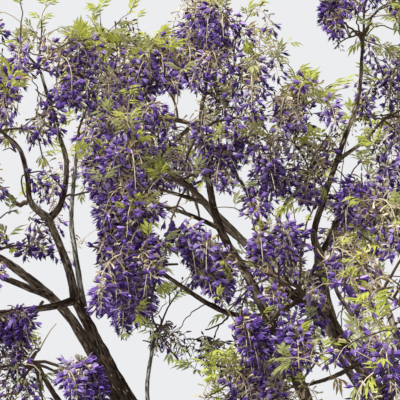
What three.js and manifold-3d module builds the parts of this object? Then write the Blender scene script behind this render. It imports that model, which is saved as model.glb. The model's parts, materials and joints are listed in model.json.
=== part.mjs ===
import * as THREE from 'three';
import { mergeVertices } from 'three/addons/utils/BufferGeometryUtils.js';
import Module from 'manifold-3d';

// An african wisteria tree in full bloom, rooted in level ground, in millimetres with +Z up.
// The origin is the middle of the flat cut under the trunk. Long bare limbs rise from a low fork
// towards -X and carry a loose crown of hanging flower clusters and young leaves on all sides.

// The clear gap where one part is seated at another, the least room a twig, leaf or cluster keeps
// to other parts, and the distances below which points and short edges are joined.
const GAP = 0.3;
const CLEAR_OF_OTHERS = 1;
const SAME_POINT = 0.0001;
const WELD = 0.2;

// Trunk: a true taper with a slight lean, and a root flare in five lobes.
const TRUNK_TOP = [-24, 0, 980];
const TRUNK_BEND = [16, -8, 500];
const TRUNK_FOOT_RADIUS = 122;
const TRUNK_FORK_RADIUS = 100;
const TRUNK_SHOULDER = 0.93;
const TRUNK_CROWN_RADIUS = 62;
const FLARE_REACH = 62;
const FLARE_HEIGHT = 140;
const FLARE_LOBES = 5;
const FLARE_LOBE_DEPTH = 0.45;
const TRUNK_SIDES = 20;
const TRUNK_HEIGHTS = [0, 0.03, 0.08, 0.16, 0.28, 0.45, 0.65, 0.84, TRUNK_SHOULDER, 1];

// Limbs are tapering tubes, with a ring every so often along each.
const LIMB_SIDES = 6;
const LIMB_RING_EVERY = 240;
const LIMB_LEAST_RINGS = 3;

// Every limb leaves its parent at a fraction of the parent's length, passes its bends and ends at
// its tip. The girth is its radius where it starts and where it ends.
const LIMBS = [
  { name: 'west', from: 'trunk', at: 0.9, girth: [56, 15],
    bends: [[-520, -30, 1850], [-1015, -100, 2575]],
    tip: [-1164, -200, 2836] },
  { name: 'middle', from: 'trunk', at: 0.97, girth: [40, 9],
    bends: [[-190, 0, 1680], [-485, -20, 2585], [-585, -60, 2800], [-650, -80, 2940], [-740, -110, 3095]],
    tip: [-790, -140, 3340] },
  { name: 'east', from: 'trunk', at: 0.93, girth: [48, 14],
    bends: [[-130, 10, 1735], [-245, 20, 2575], [-345, 30, 2745], [-400, 35, 2860]],
    tip: [-425, 50, 3060] },
  { name: 'south_east', from: 'trunk', at: 0.8, girth: [48, 11],
    bends: [[260, -90, 1560], [560, -150, 2150], [800, -130, 2480]],
    tip: [920, -110, 2700] },
  { name: 'north', from: 'trunk', at: 0.86, girth: [46, 11],
    bends: [[60, 240, 1640], [40, 560, 2350], [-60, 800, 2880]],
    tip: [-110, 900, 3160] },
  { name: 'west_upper', from: 'west', at: 1, girth: [13, 10.5],
    bends: [[-1185, -235, 2920]],
    tip: [-1240, -300, 3050] },
  { name: 'west_crook', from: 'west_upper', at: 1, girth: [10, 5.5],
    bends: [[-1290, -340, 3085], [-1300, -360, 3150], [-1325, -385, 3235]],
    tip: [-1365, -420, 3265] },
  { name: 'west_leader', from: 'west_upper', at: 1, girth: [9.5, 4.5],
    bends: [[-1210, -300, 3090], [-1195, -295, 3225], [-1230, -280, 3350]],
    tip: [-1285, -265, 3540] },
  { name: 'west_long', from: 'west', at: 0.34, girth: [30, 11],
    bends: [[-745, -10, 2115], [-1055, 10, 2600], [-1130, -15, 2735], [-1210, -60, 2850],
      [-1340, -120, 2950]],
    tip: [-1460, -160, 3020] },
  { name: 'west_long_low', from: 'west_long', at: 0.86, girth: [11, 8],
    bends: [[-1305, -140, 2890]],
    tip: [-1435, -220, 2925] },
  { name: 'west_level', from: 'west', at: 1, girth: [11, 7],
    bends: [[-1220, -250, 2800], [-1290, -320, 2765]],
    tip: [-1395, -420, 2720] },
  { name: 'west_pale', from: 'west', at: 0.97, girth: [10, 5],
    bends: [[-1155, -170, 2895], [-1175, -150, 3010], [-1190, -130, 3105]],
    tip: [-1185, -75, 3380] },
  { name: 'west_low', from: 'west', at: 0.25, girth: [20, 7],
    bends: [[-620, -160, 1820], [-970, -270, 2270], [-1190, -330, 2500]],
    tip: [-1250, -365, 2590] },
  { name: 'pale_twig', from: 'west', at: 0.4, girth: [11, 6],
    bends: [[-870, 60, 2280], [-960, 100, 2615]],
    tip: [-945, 150, 2820] },
  { name: 'middle_low', from: 'middle', at: 0.78, girth: [9, 6],
    bends: [[-670, -120, 2810], [-750, -180, 2815]],
    tip: [-905, -300, 2880] },
  { name: 'middle_thin', from: 'middle', at: 0.9, girth: [7, 5],
    bends: [[-835, -170, 3115]],
    tip: [-945, -260, 3120] },
  { name: 'inner', from: 'east', at: 0.91, girth: [17, 8],
    bends: [[-510, 45, 2930], [-575, 40, 2995], [-660, 35, 3100], [-735, 25, 3165], [-800, 50, 3260]],
    tip: [-900, 130, 3390] },
  { name: 'inner_side', from: 'inner', at: 0.72, girth: [7, 5],
    bends: [[-885, 50, 3275]],
    tip: [-955, 20, 3285] },
  { name: 'pale_fork', from: 'inner', at: 0.32, girth: [7, 4],
    bends: [[-560, 10, 3145], [-530, -10, 3220]],
    tip: [-480, -40, 3260] },
  { name: 'near', from: 'middle', at: 0.775, girth: [10, 7],
    bends: [[-545, -120, 2835]],
    tip: [-500, -200, 2840] },
  { name: 'low_right', from: 'east', at: 0.83, girth: [8, 5],
    bends: [[-405, -90, 2635]],
    tip: [-490, -200, 2580] },
  { name: 'east_slender', from: 'east', at: 0.3, girth: [14, 5],
    bends: [[-165, -50, 2230], [-270, -10, 2715], [-335, -30, 2835], [-390, -55, 2930], [-370, -75, 3010]],
    tip: [-290, -110, 3110] },
  { name: 'east_leader', from: 'east', at: 1, girth: [12, 5.5],
    bends: [[-440, 60, 3135], [-405, 80, 3265], [-330, 90, 3480], [-280, 85, 3625]],
    tip: [-260, 60, 3810] },
  { name: 'east_fork', from: 'east_leader', at: 0.46, girth: [8, 5],
    bends: [[-250, 180, 3520]],
    tip: [-200, 240, 3600] },
  { name: 'east_spur', from: 'east', at: 1, girth: [10, 6],
    bends: [[-385, 90, 3145]],
    tip: [-345, 140, 3235] },
  { name: 'right_front', from: 'south_east', at: 0.52, girth: [24, 9],
    bends: [[560, -380, 2180]],
    tip: [600, -560, 2560] },
  { name: 'right_back', from: 'south_east', at: 0.3, girth: [27, 9],
    bends: [[470, 230, 2020], [600, 480, 2450]],
    tip: [660, 600, 2800] },
  { name: 'right_high', from: 'east', at: 0.5, girth: [22, 9],
    bends: [[60, 60, 2480], [270, 100, 2990]],
    tip: [350, 110, 3390] },
  { name: 'back_left', from: 'north', at: 0.62, girth: [18, 8],
    bends: [[-290, 600, 2840], [-390, 620, 3060], [-500, 630, 3160], [-640, 640, 3330]],
    tip: [-790, 655, 3500] },
  { name: 'front_low', from: 'south_east', at: 0.2, girth: [20, 8],
    bends: [[130, -420, 1980]],
    tip: [60, -640, 2370] },
  { name: 'top', from: 'right_high', at: 0.3, girth: [13, 8],
    bends: [[60, 250, 2950], [120, 370, 3350]],
    tip: [40, 410, 3740] },
];

// Every mass of foliage grows from the tip of one limb, inside its own egg-shaped space.
// Shoots is how many shoots are tried there, and bloom the share of them that carry flowers.
const MASSES = [
  { limb: 'west_crook', centre: [-1390, -470, 3290], spread: [210, 190, 160], shoots: 6, bloom: 0.8 },
  { limb: 'west_leader', centre: [-1345, -300, 3610], spread: [240, 230, 150], shoots: 7, bloom: 0.7 },
  { limb: 'west_long', centre: [-1640, -160, 3130], spread: [230, 260, 260], shoots: 7, bloom: 0.7 },
  { limb: 'west_long_low', centre: [-1430, -330, 3010], spread: [180, 190, 140], shoots: 6, bloom: 0.7 },
  { limb: 'west_level', centre: [-1410, -480, 2690], spread: [190, 230, 165], shoots: 6, bloom: 0.8 },
  { limb: 'west_pale', centre: [-1093, -60, 3710], spread: [155, 200, 180], shoots: 6, bloom: 0.8 },
  { limb: 'west_low', centre: [-1270, -430, 2560], spread: [250, 200, 130], shoots: 6, bloom: 0.8 },
  { limb: 'pale_twig', centre: [-915, 200, 2900], spread: [140, 160, 130], shoots: 7, bloom: 0.8 },
  { limb: 'middle', centre: [-780, -170, 3600], spread: [240, 230, 335], shoots: 9, bloom: 0.9 },
  { limb: 'middle_low', centre: [-1000, -360, 2900], spread: [140, 190, 190], shoots: 7, bloom: 0.9 },
  { limb: 'middle_thin', centre: [-1015, -330, 3200], spread: [110, 190, 200], shoots: 7, bloom: 0.9 },
  { limb: 'inner', centre: [-990, 300, 3720], spread: [280, 290, 295], shoots: 8, bloom: 0.6 },
  { limb: 'inner_side', centre: [-1015, 30, 3270], spread: [105, 190, 200], shoots: 6, bloom: 0.9 },
  { limb: 'pale_fork', centre: [-515, -90, 3450], spread: [225, 210, 270], shoots: 8, bloom: 0.7 },
  { limb: 'near', centre: [-620, -190, 2945], spread: [290, 270, 215], shoots: 8, bloom: 0.9 },
  { limb: 'low_right', centre: [-610, -290, 2610], spread: [280, 220, 170], shoots: 8, bloom: 0.7 },
  { limb: 'east_slender', centre: [-220, -220, 3150], spread: [190, 220, 240], shoots: 7, bloom: 0.7 },
  { limb: 'east_leader', centre: [-250, 20, 3980], spread: [260, 250, 220], shoots: 7, bloom: 0.6 },
  { limb: 'east_fork', centre: [-80, 330, 3720], spread: [220, 250, 210], shoots: 6, bloom: 0.7 },
  { limb: 'east_spur', centre: [-340, 220, 3330], spread: [190, 190, 160], shoots: 6, bloom: 0.8 },
  { limb: 'south_east', centre: [1120, -120, 2990], spread: [430, 440, 430], shoots: 10, bloom: 0.7 },
  { limb: 'right_front', centre: [680, -780, 2880], spread: [430, 420, 420], shoots: 10, bloom: 0.7 },
  { limb: 'right_back', centre: [780, 720, 3120], spread: [450, 440, 440], shoots: 10, bloom: 0.7 },
  { limb: 'right_high', centre: [440, 100, 3730], spread: [430, 450, 430], shoots: 10, bloom: 0.7 },
  { limb: 'north', centre: [-160, 1050, 3500], spread: [450, 430, 440], shoots: 10, bloom: 0.7 },
  { limb: 'back_left', centre: [-1020, 800, 3670], spread: [430, 400, 360], shoots: 9, bloom: 0.7 },
  { limb: 'front_low', centre: [-210, -880, 2560], spread: [400, 380, 370], shoots: 8, bloom: 0.7 },
  { limb: 'top', centre: [-110, 350, 4140], spread: [430, 440, 310], shoots: 9, bloom: 0.6 },
];

// Gaps where the sky shows through the crown: narrow cones from one viewpoint in front of the
// tree, each through a spot [x, z, radius] on the plane y = 0. No twig, leaf or flower is in one.
const VIEWPOINT = new THREE.Vector3(-800, -4465, 1430);
const SKY_GAPS = [
  [-1420, 3930, 40], [-1330, 3930, 20], [-1290, 3860, 30], [-1240, 3910, 35], [-1190, 3830, 15],
  [-1090, 3890, 35], [-970, 3860, 20], [-480, 3900, 70], [-410, 3790, 40], [-380, 3700, 35],
  [-420, 3660, 20], [-350, 3640, 10], [-300, 3850, 20], [-300, 3790, 20], [-210, 3830, 25],
  [-160, 3850, 20], [-1430, 3770, 20], [-1330, 3630, 30], [-1320, 3590, 15], [-1280, 3650, 20],
  [-1380, 3530, 20], [-1210, 3510, 20], [-860, 3550, 35], [-890, 3560, 20], [-1370, 3430, 20],
  [-1410, 3370, 35], [-1330, 3370, 30], [-1280, 3400, 20], [-320, 3560, 20], [-420, 3480, 15],
  [-300, 3320, 25], [-360, 3290, 15], [-660, 3330, 10], [-710, 3220, 15], [-710, 3190, 20],
  [-690, 3160, 20], [-650, 3130, 10], [-550, 3220, 10], [-500, 3190, 15], [-410, 3170, 20],
  [-1200, 3270, 15], [-1160, 3250, 15], [-1150, 3200, 20], [-890, 3230, 20], [-830, 3200, 20],
  [-920, 3120, 20], [-950, 3140, 15], [-1400, 3150, 20], [-1380, 3100, 20], [-1190, 3160, 15],
  [-1130, 3110, 15], [-1150, 3070, 15], [-1150, 3020, 20], [-1390, 3020, 30], [-1280, 2990, 25],
  [-1240, 2950, 40], [-1380, 2920, 35], [-450, 3020, 15], [-880, 3030, 15], [-850, 2990, 15],
  [-920, 2930, 20], [-890, 2860, 25], [-850, 2830, 30], [-820, 2880, 45], [-750, 2820, 35],
  [-720, 2810, 15], [-390, 2910, 15], [-390, 2860, 20], [-370, 2820, 15], [-230, 2890, 30],
  [-190, 3000, 20], [-200, 2850, 20], [-1260, 2790, 30], [-1220, 2770, 40], [-1230, 2720, 20],
  [-1080, 2810, 20], [-1090, 2770, 20], [-1070, 2730, 35], [-980, 2780, 25], [-1000, 2670, 55],
  [-920, 2670, 35], [-850, 2650, 45], [-460, 2670, 20], [-400, 2620, 30],
];

// Growth: a stem runs from the limb's tip towards the middle of the space, and every shoot leaves
// the nearest thick place on it or on an earlier shoot.
const STEM_SIDES = 5;
const STEM_STEPS = 3;
const STEM_INTO_SPACE = 0.7;
const BALANCE = 0.35;
const SEED_STEP = 17;
const TWIG_SIDES = 3;
const TWIG_STEPS = 2;
const TWIG_TIP_RADIUS = 2.2;
const TWIG_TAPER = 1.5;
const ORDER_SHRINK = 0.72;
const TWIG_ARCH = 0.13;
const TWIG_RISE = 2;
const GOLDEN_TURN = Math.PI * (3 - Math.sqrt(5));

// A hanging flower cluster, whose neck is sunk in the shoot, and a leaf, which is a thin kite.
const CLUSTER_LENGTH = 270;
const CLUSTER_RADIUS = 54;
const CLUSTER_SIDES = 5;
const CLUSTER_SHOULDER = 0.28;
const CLUSTER_WAIST = 0.7;
const CLUSTER_WAIST_WIDTH = 0.8;
const CLUSTER_LEAN = 0.08;
const CLUSTER_SINK = 26;
const LEAF_LENGTH = 210;
const LEAF_WIDTH = 74;
const LEAF_THICKNESS = 4;
const LEAF_SINK = 8;
const LEAF_WIDEST = 0.45;
const LEAF_DROOP = 0.35;
const LEAF_SWAY = 0.4;

const manifoldLibrary = await Module();
manifoldLibrary.setup();
const { Manifold, Mesh: SolidMesh } = manifoldLibrary;

function vector(place) {
  return new THREE.Vector3(...place);
}

// The level direction at a turn from +X towards +Y.
function level(turn) {
  return new THREE.Vector3(Math.cos(turn), Math.sin(turn), 0);
}

function closedMesh(points, faces) {
  const geometry = new THREE.BufferGeometry();
  const places = points.flatMap((point) => point.toArray());
  geometry.setAttribute('position', new THREE.Float32BufferAttribute(places, 3));
  geometry.setIndex(faces.flat());
  return geometry;
}

// Skins a row of rings with the same number of points and closes both ends. Where an end is to be
// a point, its ring holds a single point.
function loft(rings) {
  const points = rings.flat();
  const faces = [];
  let first = 0;
  for (let i = 0; i + 1 < rings.length; i++) {
    const here = rings[i].length;
    const next = rings[i + 1].length;
    const sides = Math.max(here, next);
    for (let k = 0; k < sides; k++) {
      const a = first + (k % here);
      const b = first + ((k + 1) % here);
      const c = first + here + ((k + 1) % next);
      const d = first + here + (k % next);
      if (a !== b) faces.push([a, b, c]);
      if (c !== d) faces.push([a, c, d]);
    }
    first += here;
  }
  const foot = rings[0].length;
  for (let k = 1; k + 1 < foot; k++) faces.push([0, k + 1, k]);
  const head = rings[rings.length - 1].length;
  for (let k = 1; k + 1 < head; k++) faces.push([first, first + k, first + k + 1]);
  return closedMesh(points, faces);
}

function ring(centre, across, along, radius, sides) {
  const points = [];
  for (let k = 0; k < sides; k++) {
    const turn = (2 * Math.PI * k) / sides;
    const point = centre.clone();
    point.addScaledVector(across, radius * Math.cos(turn));
    point.addScaledVector(along, radius * Math.sin(turn));
    points.push(point);
  }
  return points;
}

function taperedTube(curve, radiusAt, sides, steps) {
  const frames = curve.computeFrenetFrames(steps, false);
  const rings = [];
  for (let i = 0; i <= steps; i++) {
    const centre = curve.getPointAt(i / steps);
    rings.push(ring(centre, frames.normals[i], frames.binormals[i], radiusAt(i / steps), sides));
  }
  return loft(rings);
}

function solidOf(geometry) {
  const bare = geometry.clone();
  bare.deleteAttribute('normal');
  bare.deleteAttribute('uv');
  const merged = mergeVertices(bare, SAME_POINT);
  return new Manifold(new SolidMesh({
    numProp: 3,
    vertProperties: new Float32Array(merged.attributes.position.array),
    triVerts: new Uint32Array(merged.index.array),
  }));
}

function geometryOf(solid) {
  const mesh = solid.getMesh();
  const geometry = new THREE.BufferGeometry();
  const places = Float32Array.from(mesh.vertProperties);
  geometry.setAttribute('position', new THREE.BufferAttribute(places, 3));
  geometry.setIndex(new THREE.BufferAttribute(Uint32Array.from(mesh.triVerts), 1));
  return geometry;
}

function largestPiece(solid) {
  const pieces = solid.decompose();
  return pieces.reduce((best, piece) => (piece.volume() > best.volume() ? piece : best));
}

function boxesMeet(solid, other, margin) {
  const a = solid.boundingBox();
  const b = other.boundingBox();
  return [0, 1, 2].every((k) => a.min[k] - margin < b.max[k] && b.min[k] - margin < a.max[k]);
}

function isNear(solid, other, distance) {
  return boxesMeet(solid, other, distance) && solid.minGap(other, distance) < distance;
}

// The trunk, with every ring level, so that the cut at the ground is flat.
const trunkCurve = new THREE.CatmullRomCurve3([
  new THREE.Vector3(),
  vector(TRUNK_BEND),
  vector(TRUNK_TOP),
]);

function trunkRadius(part, turn, height) {
  if (part > TRUNK_SHOULDER) return TRUNK_CROWN_RADIUS;
  const plain = THREE.MathUtils.lerp(TRUNK_FOOT_RADIUS, TRUNK_FORK_RADIUS, part);
  const lobe = 1 + FLARE_LOBE_DEPTH * Math.cos(FLARE_LOBES * turn);
  return plain + FLARE_REACH * lobe * Math.exp(-height / FLARE_HEIGHT);
}

function trunkSolid(grow) {
  const [, , top] = TRUNK_TOP;
  const rings = TRUNK_HEIGHTS.map((part) => {
    const centre = trunkCurve.getPoint(part);
    centre.z = part * top;
    const points = [];
    for (let k = 0; k < TRUNK_SIDES; k++) {
      const turn = (2 * Math.PI * k) / TRUNK_SIDES;
      const radius = trunkRadius(part, turn, centre.z) + grow;
      points.push(new THREE.Vector3(
        centre.x + radius * Math.cos(turn),
        centre.y + radius * Math.sin(turn),
        centre.z + (part === 1 ? grow : 0),
      ));
    }
    return points;
  });
  return solidOf(loft(rings));
}

// Limbs: each is cut by every earlier part it would run into, with the gap left clear.
const curves = { trunk: trunkCurve };
const limbs = {};

function limbCurve(limb) {
  const start = curves[limb.from].getPointAt(limb.at);
  return new THREE.CatmullRomCurve3([start, ...limb.bends.map(vector), vector(limb.tip)]);
}

function limbSolid(limb, grow) {
  const curve = curves[limb.name];
  const steps = Math.max(LIMB_LEAST_RINGS, Math.round(curve.getLength() / LIMB_RING_EVERY));
  const radiusAt = (part) => THREE.MathUtils.lerp(limb.girth[0], limb.girth[1], part) + grow;
  const tube = solidOf(taperedTube(curve, radiusAt, LIMB_SIDES, steps));
  if (grow === 0) return tube;
  const forward = curve.getTangentAt(1).multiplyScalar(grow);
  return tube.add(tube.translate(forward.toArray()));
}

function growLimbs() {
  const solids = { trunk: trunkSolid(0) };
  const cutters = { trunk: trunkSolid(GAP) };
  for (const limb of LIMBS) {
    curves[limb.name] = limbCurve(limb);
    let solid = limbSolid(limb, 0);
    for (const other of Object.keys(solids)) {
      if (isNear(solid, solids[other], GAP)) solid = largestPiece(solid.subtract(cutters[other]));
    }
    solids[limb.name] = solid.asOriginal().simplify(WELD);
    cutters[limb.name] = limbSolid(limb, GAP);
    limbs[limb.name] = limb;
  }
  return solids;
}

// Evenly spread fractions: the same step always gives the same place.
function halton(step, base) {
  let result = 0;
  let share = 1 / base;
  for (let rest = step; rest > 0; rest = Math.floor(rest / base)) {
    result += share * (rest % base);
    share /= base;
  }
  return result;
}

function placeInSpace(mass, step) {
  const out = Math.cbrt(halton(step, 2));
  const up = 2 * halton(step, 3) - 1;
  const unit = level(2 * Math.PI * halton(step, 5)).multiplyScalar(Math.sqrt(1 - up * up));
  unit.z = up;
  return unit.multiplyScalar(out).multiply(vector(mass.spread)).add(vector(mass.centre));
}

function depthIn(mass, point) {
  return point.clone().sub(vector(mass.centre)).divide(vector(mass.spread)).length();
}

function isOwn(mass, point) {
  const depth = depthIn(mass, point);
  return MASSES.every((other) => other === mass || depthIn(other, point) > depth);
}

function inSkyGap(point, halfWidth) {
  const along = point.clone().sub(VIEWPOINT);
  const seen = along.multiplyScalar(-VIEWPOINT.y / along.y).add(VIEWPOINT);
  return SKY_GAPS.some(([x, z, radius]) => Math.hypot(seen.x - x, seen.z - z) < radius + halfWidth);
}

function twigRadius(mass, way, order) {
  const [, stemRadius] = limbs[mass.limb].girth;
  const reach = 2 * Math.max(...mass.spread);
  const left = Math.max(0, 1 - way / reach);
  return TWIG_TIP_RADIUS + (stemRadius - TWIG_TIP_RADIUS) * left ** TWIG_TAPER * ORDER_SHRINK ** order;
}

function stemOf(mass) {
  const limbTip = vector(limbs[mass.limb].tip);
  const heading = curves[mass.limb].getTangentAt(1);
  const start = limbTip.clone().addScaledVector(heading, GAP);
  const end = limbTip.clone().lerp(vector(mass.centre), STEM_INTO_SPACE);
  const bend = start.clone().addScaledVector(heading, start.distanceTo(end) / 2);
  return new THREE.QuadraticBezierCurve3(start, bend, end);
}

function twigCurve(from, to, step) {
  const length = from.distanceTo(to);
  const arch = level(step * GOLDEN_TURN);
  arch.z = TWIG_RISE;
  const bend = from.clone().lerp(to, 0.5).addScaledVector(arch, length * TWIG_ARCH);
  return new THREE.QuadraticBezierCurve3(from, bend, to);
}

// The nearest place to grow from, counting the way back to the stem's foot as well.
function bestFork(forks, target) {
  const cost = (fork) => fork.place.distanceTo(target) + BALANCE * fork.way;
  return forks.reduce((best, fork) => (cost(fork) < cost(best) ? fork : best));
}

function flowerCluster(tip, lean) {
  const down = new THREE.Vector3(lean.x, lean.y, -1).normalize();
  const across = new THREE.Vector3(1, 0, lean.x).normalize();
  const along = new THREE.Vector3().crossVectors(down, across).normalize();
  const neck = tip.clone().addScaledVector(down, -CLUSTER_SINK);
  const at = (part) => neck.clone().addScaledVector(down, part * CLUSTER_LENGTH);
  const waist = CLUSTER_RADIUS * CLUSTER_WAIST_WIDTH;
  return loft([
    [at(0)],
    ring(at(CLUSTER_SHOULDER), across, along, CLUSTER_RADIUS, CLUSTER_SIDES),
    ring(at(CLUSTER_WAIST), across, along, waist, CLUSTER_SIDES),
    [at(1)],
  ]);
}

function leaf(tip, turn) {
  const out = new THREE.Vector3(Math.cos(turn), Math.sin(turn), -LEAF_DROOP).normalize();
  const side = new THREE.Vector3(-Math.sin(turn), Math.cos(turn), 0);
  const up = new THREE.Vector3().crossVectors(out, side);
  const root = tip.clone().addScaledVector(out, -LEAF_SINK);
  const middle = root.clone().addScaledVector(out, LEAF_LENGTH * LEAF_WIDEST);
  const rim = [
    middle.clone().addScaledVector(side, LEAF_WIDTH / 2),
    middle.clone().addScaledVector(up, LEAF_THICKNESS / 2),
    middle.clone().addScaledVector(side, -LEAF_WIDTH / 2),
    middle.clone().addScaledVector(up, -LEAF_THICKNESS / 2),
  ];
  return loft([[root], rim, [root.clone().addScaledVector(out, LEAF_LENGTH)]]);
}

// Whether every point is in the mass's own share of the crown, and out of the gaps in it.
function fits(mass, points, halfWidth) {
  return points.every((point) => isOwn(mass, point) && !inSkyGap(point, halfWidth));
}

// Grows one mass: each shoot runs to an evenly spread spot of the space and ends in a flower
// cluster, a leaf or both. Whatever would leave the mass's share or touch another part is skipped.
function growMass(mass, neighbours, seed) {
  const stem = stemOf(mass);
  const stemLength = stem.getLength();
  const stemRadius = (part) => twigRadius(mass, part * stemLength, 0);
  const pieces = [solidOf(taperedTube(stem, stemRadius, STEM_SIDES, STEM_STEPS))];
  const forks = [];
  for (let k = 1; k <= STEM_STEPS; k++) {
    const part = k / STEM_STEPS;
    forks.push({ place: stem.getPointAt(part), way: part * stemLength, order: 0 });
  }
  const tryPiece = (geometry) => {
    const solid = solidOf(geometry);
    const free = !neighbours.some((other) => isNear(solid, other, CLEAR_OF_OTHERS));
    if (free) pieces.push(solid);
    return free;
  };
  let blooms = 0;
  for (let k = 1; k <= mass.shoots; k++) {
    const step = seed + k;
    const target = placeInSpace(mass, step);
    const fork = bestFork(forks, target);
    const curve = twigCurve(fork.place, target, step);
    if (!fits(mass, [curve.getPointAt(0.5), target], TWIG_TIP_RADIUS)) continue;
    const order = fork.order + 1;
    const length = curve.getLength();
    const radiusAt = (part) => twigRadius(mass, fork.way + part * length, order);
    if (!tryPiece(taperedTube(curve, radiusAt, TWIG_SIDES, TWIG_STEPS))) continue;
    forks.push({ place: curve.getPointAt(0.5), way: fork.way + length / 2, order });
    forks.push({ place: target, way: fork.way + length, order });
    if (blooms < mass.bloom * k) {
      const lean = level(step * GOLDEN_TURN).multiplyScalar(CLUSTER_LEAN);
      const low = target.clone();
      low.z -= CLUSTER_WAIST * CLUSTER_LENGTH;
      const hangs = fits(mass, [low], CLUSTER_RADIUS / 2) && tryPiece(flowerCluster(target, lean));
      if (hangs) blooms += 1;
    }
    const away = target.clone().sub(vector(mass.centre));
    const outward = Math.atan2(away.y, away.x) + LEAF_SWAY * Math.sin(step);
    const end = target.clone().addScaledVector(level(outward), LEAF_LENGTH);
    if (fits(mass, [end], 0)) tryPiece(leaf(target, outward));
  }
  return Manifold.union(pieces).asOriginal().simplify(WELD);
}

function matt(name, color) {
  return new THREE.MeshStandardMaterial({ name, color, roughness: 0.9, metalness: 0 });
}

const BARK = matt('bark', '#58493a');
const PALE_BARK = matt('pale_bark', '#8d8878');
const FOLIAGE = matt('foliage', '#5d4a8c');
const PALE_LIMBS = ['west_pale', 'pale_twig', 'pale_fork'];

function namedMesh(name, solid, material) {
  const mesh = new THREE.Mesh(geometryOf(solid), material);
  mesh.name = name;
  return mesh;
}

const tree = new THREE.Group();
tree.name = 'african_wisteria_tree';
const wood = growLimbs();
for (const [name, solid] of Object.entries(wood)) {
  const label = name === 'trunk' ? name : `bough_${name}`;
  tree.add(namedMesh(label, solid, PALE_LIMBS.includes(name) ? PALE_BARK : BARK));
}
const grown = Object.values(wood);
MASSES.forEach((mass, index) => {
  const solid = growMass(mass, grown, index * SEED_STEP);
  grown.push(solid);
  tree.add(namedMesh(`mass_${mass.limb}`, solid, FOLIAGE));
});

export default tree;
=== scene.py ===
"""An african wisteria tree in full bloom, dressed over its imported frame.

The trunk and boughs get their bark's relief, and every mass of foliage is grown again by the
source's rule and carried to finer twigs with hanging flower clusters and tufts of young leaves.
Sizes in this file are in millimetres, and meshes are made in metres.
"""

from __future__ import annotations

import json
import logging
import math
from dataclasses import dataclass
from enum import Enum
from typing import Iterable, Sequence

import bpy
import numpy as np
from mathutils import Matrix, Vector, noise

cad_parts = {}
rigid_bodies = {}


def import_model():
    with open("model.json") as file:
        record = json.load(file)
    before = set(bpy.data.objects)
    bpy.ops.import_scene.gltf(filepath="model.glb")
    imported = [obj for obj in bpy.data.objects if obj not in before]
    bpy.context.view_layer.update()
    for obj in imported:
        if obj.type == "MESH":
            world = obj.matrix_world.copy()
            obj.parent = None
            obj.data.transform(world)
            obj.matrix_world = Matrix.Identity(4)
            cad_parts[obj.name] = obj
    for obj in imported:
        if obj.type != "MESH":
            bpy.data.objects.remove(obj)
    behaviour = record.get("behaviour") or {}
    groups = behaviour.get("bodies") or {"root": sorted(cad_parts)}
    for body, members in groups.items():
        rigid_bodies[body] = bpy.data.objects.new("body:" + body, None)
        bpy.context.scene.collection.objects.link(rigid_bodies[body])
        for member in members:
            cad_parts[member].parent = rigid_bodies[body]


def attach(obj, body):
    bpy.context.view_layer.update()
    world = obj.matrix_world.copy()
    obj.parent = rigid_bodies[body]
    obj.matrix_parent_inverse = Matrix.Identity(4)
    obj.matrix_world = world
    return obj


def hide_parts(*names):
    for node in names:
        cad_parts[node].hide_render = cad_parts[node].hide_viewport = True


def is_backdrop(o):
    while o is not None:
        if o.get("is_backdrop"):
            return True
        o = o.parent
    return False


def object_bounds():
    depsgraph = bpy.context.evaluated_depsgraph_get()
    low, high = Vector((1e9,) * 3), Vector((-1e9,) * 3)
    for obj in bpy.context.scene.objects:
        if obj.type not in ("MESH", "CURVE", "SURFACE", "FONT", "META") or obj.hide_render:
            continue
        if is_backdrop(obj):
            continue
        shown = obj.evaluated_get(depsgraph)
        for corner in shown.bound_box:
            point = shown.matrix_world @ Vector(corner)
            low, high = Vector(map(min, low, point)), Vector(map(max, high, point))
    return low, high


LOG = logging.getLogger("wisteria")
MM = 0.001
GOLDEN_TURN = math.pi * (3 - math.sqrt(5))
UP = (0, 0, 1)
NEARLY_DOWN = Vector((0.01, 0, -1))
SMALLEST = 1e-9
BODY = "root"
Place = tuple[float, float, float]
Pair = tuple[float, float]
Form = tuple[list[Place], list[tuple[int, ...]]]
Mesh = bpy.types.Mesh
Piece = bpy.types.Object
Socket = bpy.types.NodeSocket


# The limbs and the masses, as the source has them.


@dataclass(frozen=True)
class Limb:
    """One limb: where it leaves its parent, its radius at both ends, its bends and its tip."""

    name: str
    parent: str
    at: float
    girth: Pair
    bends: tuple[Place, ...]
    tip: Place


@dataclass(frozen=True)
class Branchlet:
    """A small crooked branch: its radius at both ends, the places that it passes and its clusters."""

    girth: Pair
    places: tuple[Place, ...]
    clusters: int = 0


@dataclass(frozen=True)
class Mass:
    """One mass of foliage: its limb, its egg-shaped space and how richly it grows.

    The first shoots are the source's own, and fine shoots follow them. Bunches says how many
    flower clusters hang from a shoot on average, green how many tufts of leaves it bears, and
    bare how many of its clusters have dropped their flowers and buds how many are still closed.
    Bloom is how richly it flowers away from the spots of full bloom.
    """

    limb: str
    centre: Place
    spread: Place
    shoots: int
    fine: int = 16
    bunches: float = 3.6
    green: float = 1.0
    bare: float = 1.0
    buds: float = 1.0
    bloom: float = 0.0


@dataclass(frozen=True)
class Bunch:
    """A place where a number of clusters hang close together, in full flower or still closed."""

    place: Place
    clusters: int
    closed: bool = False


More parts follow.
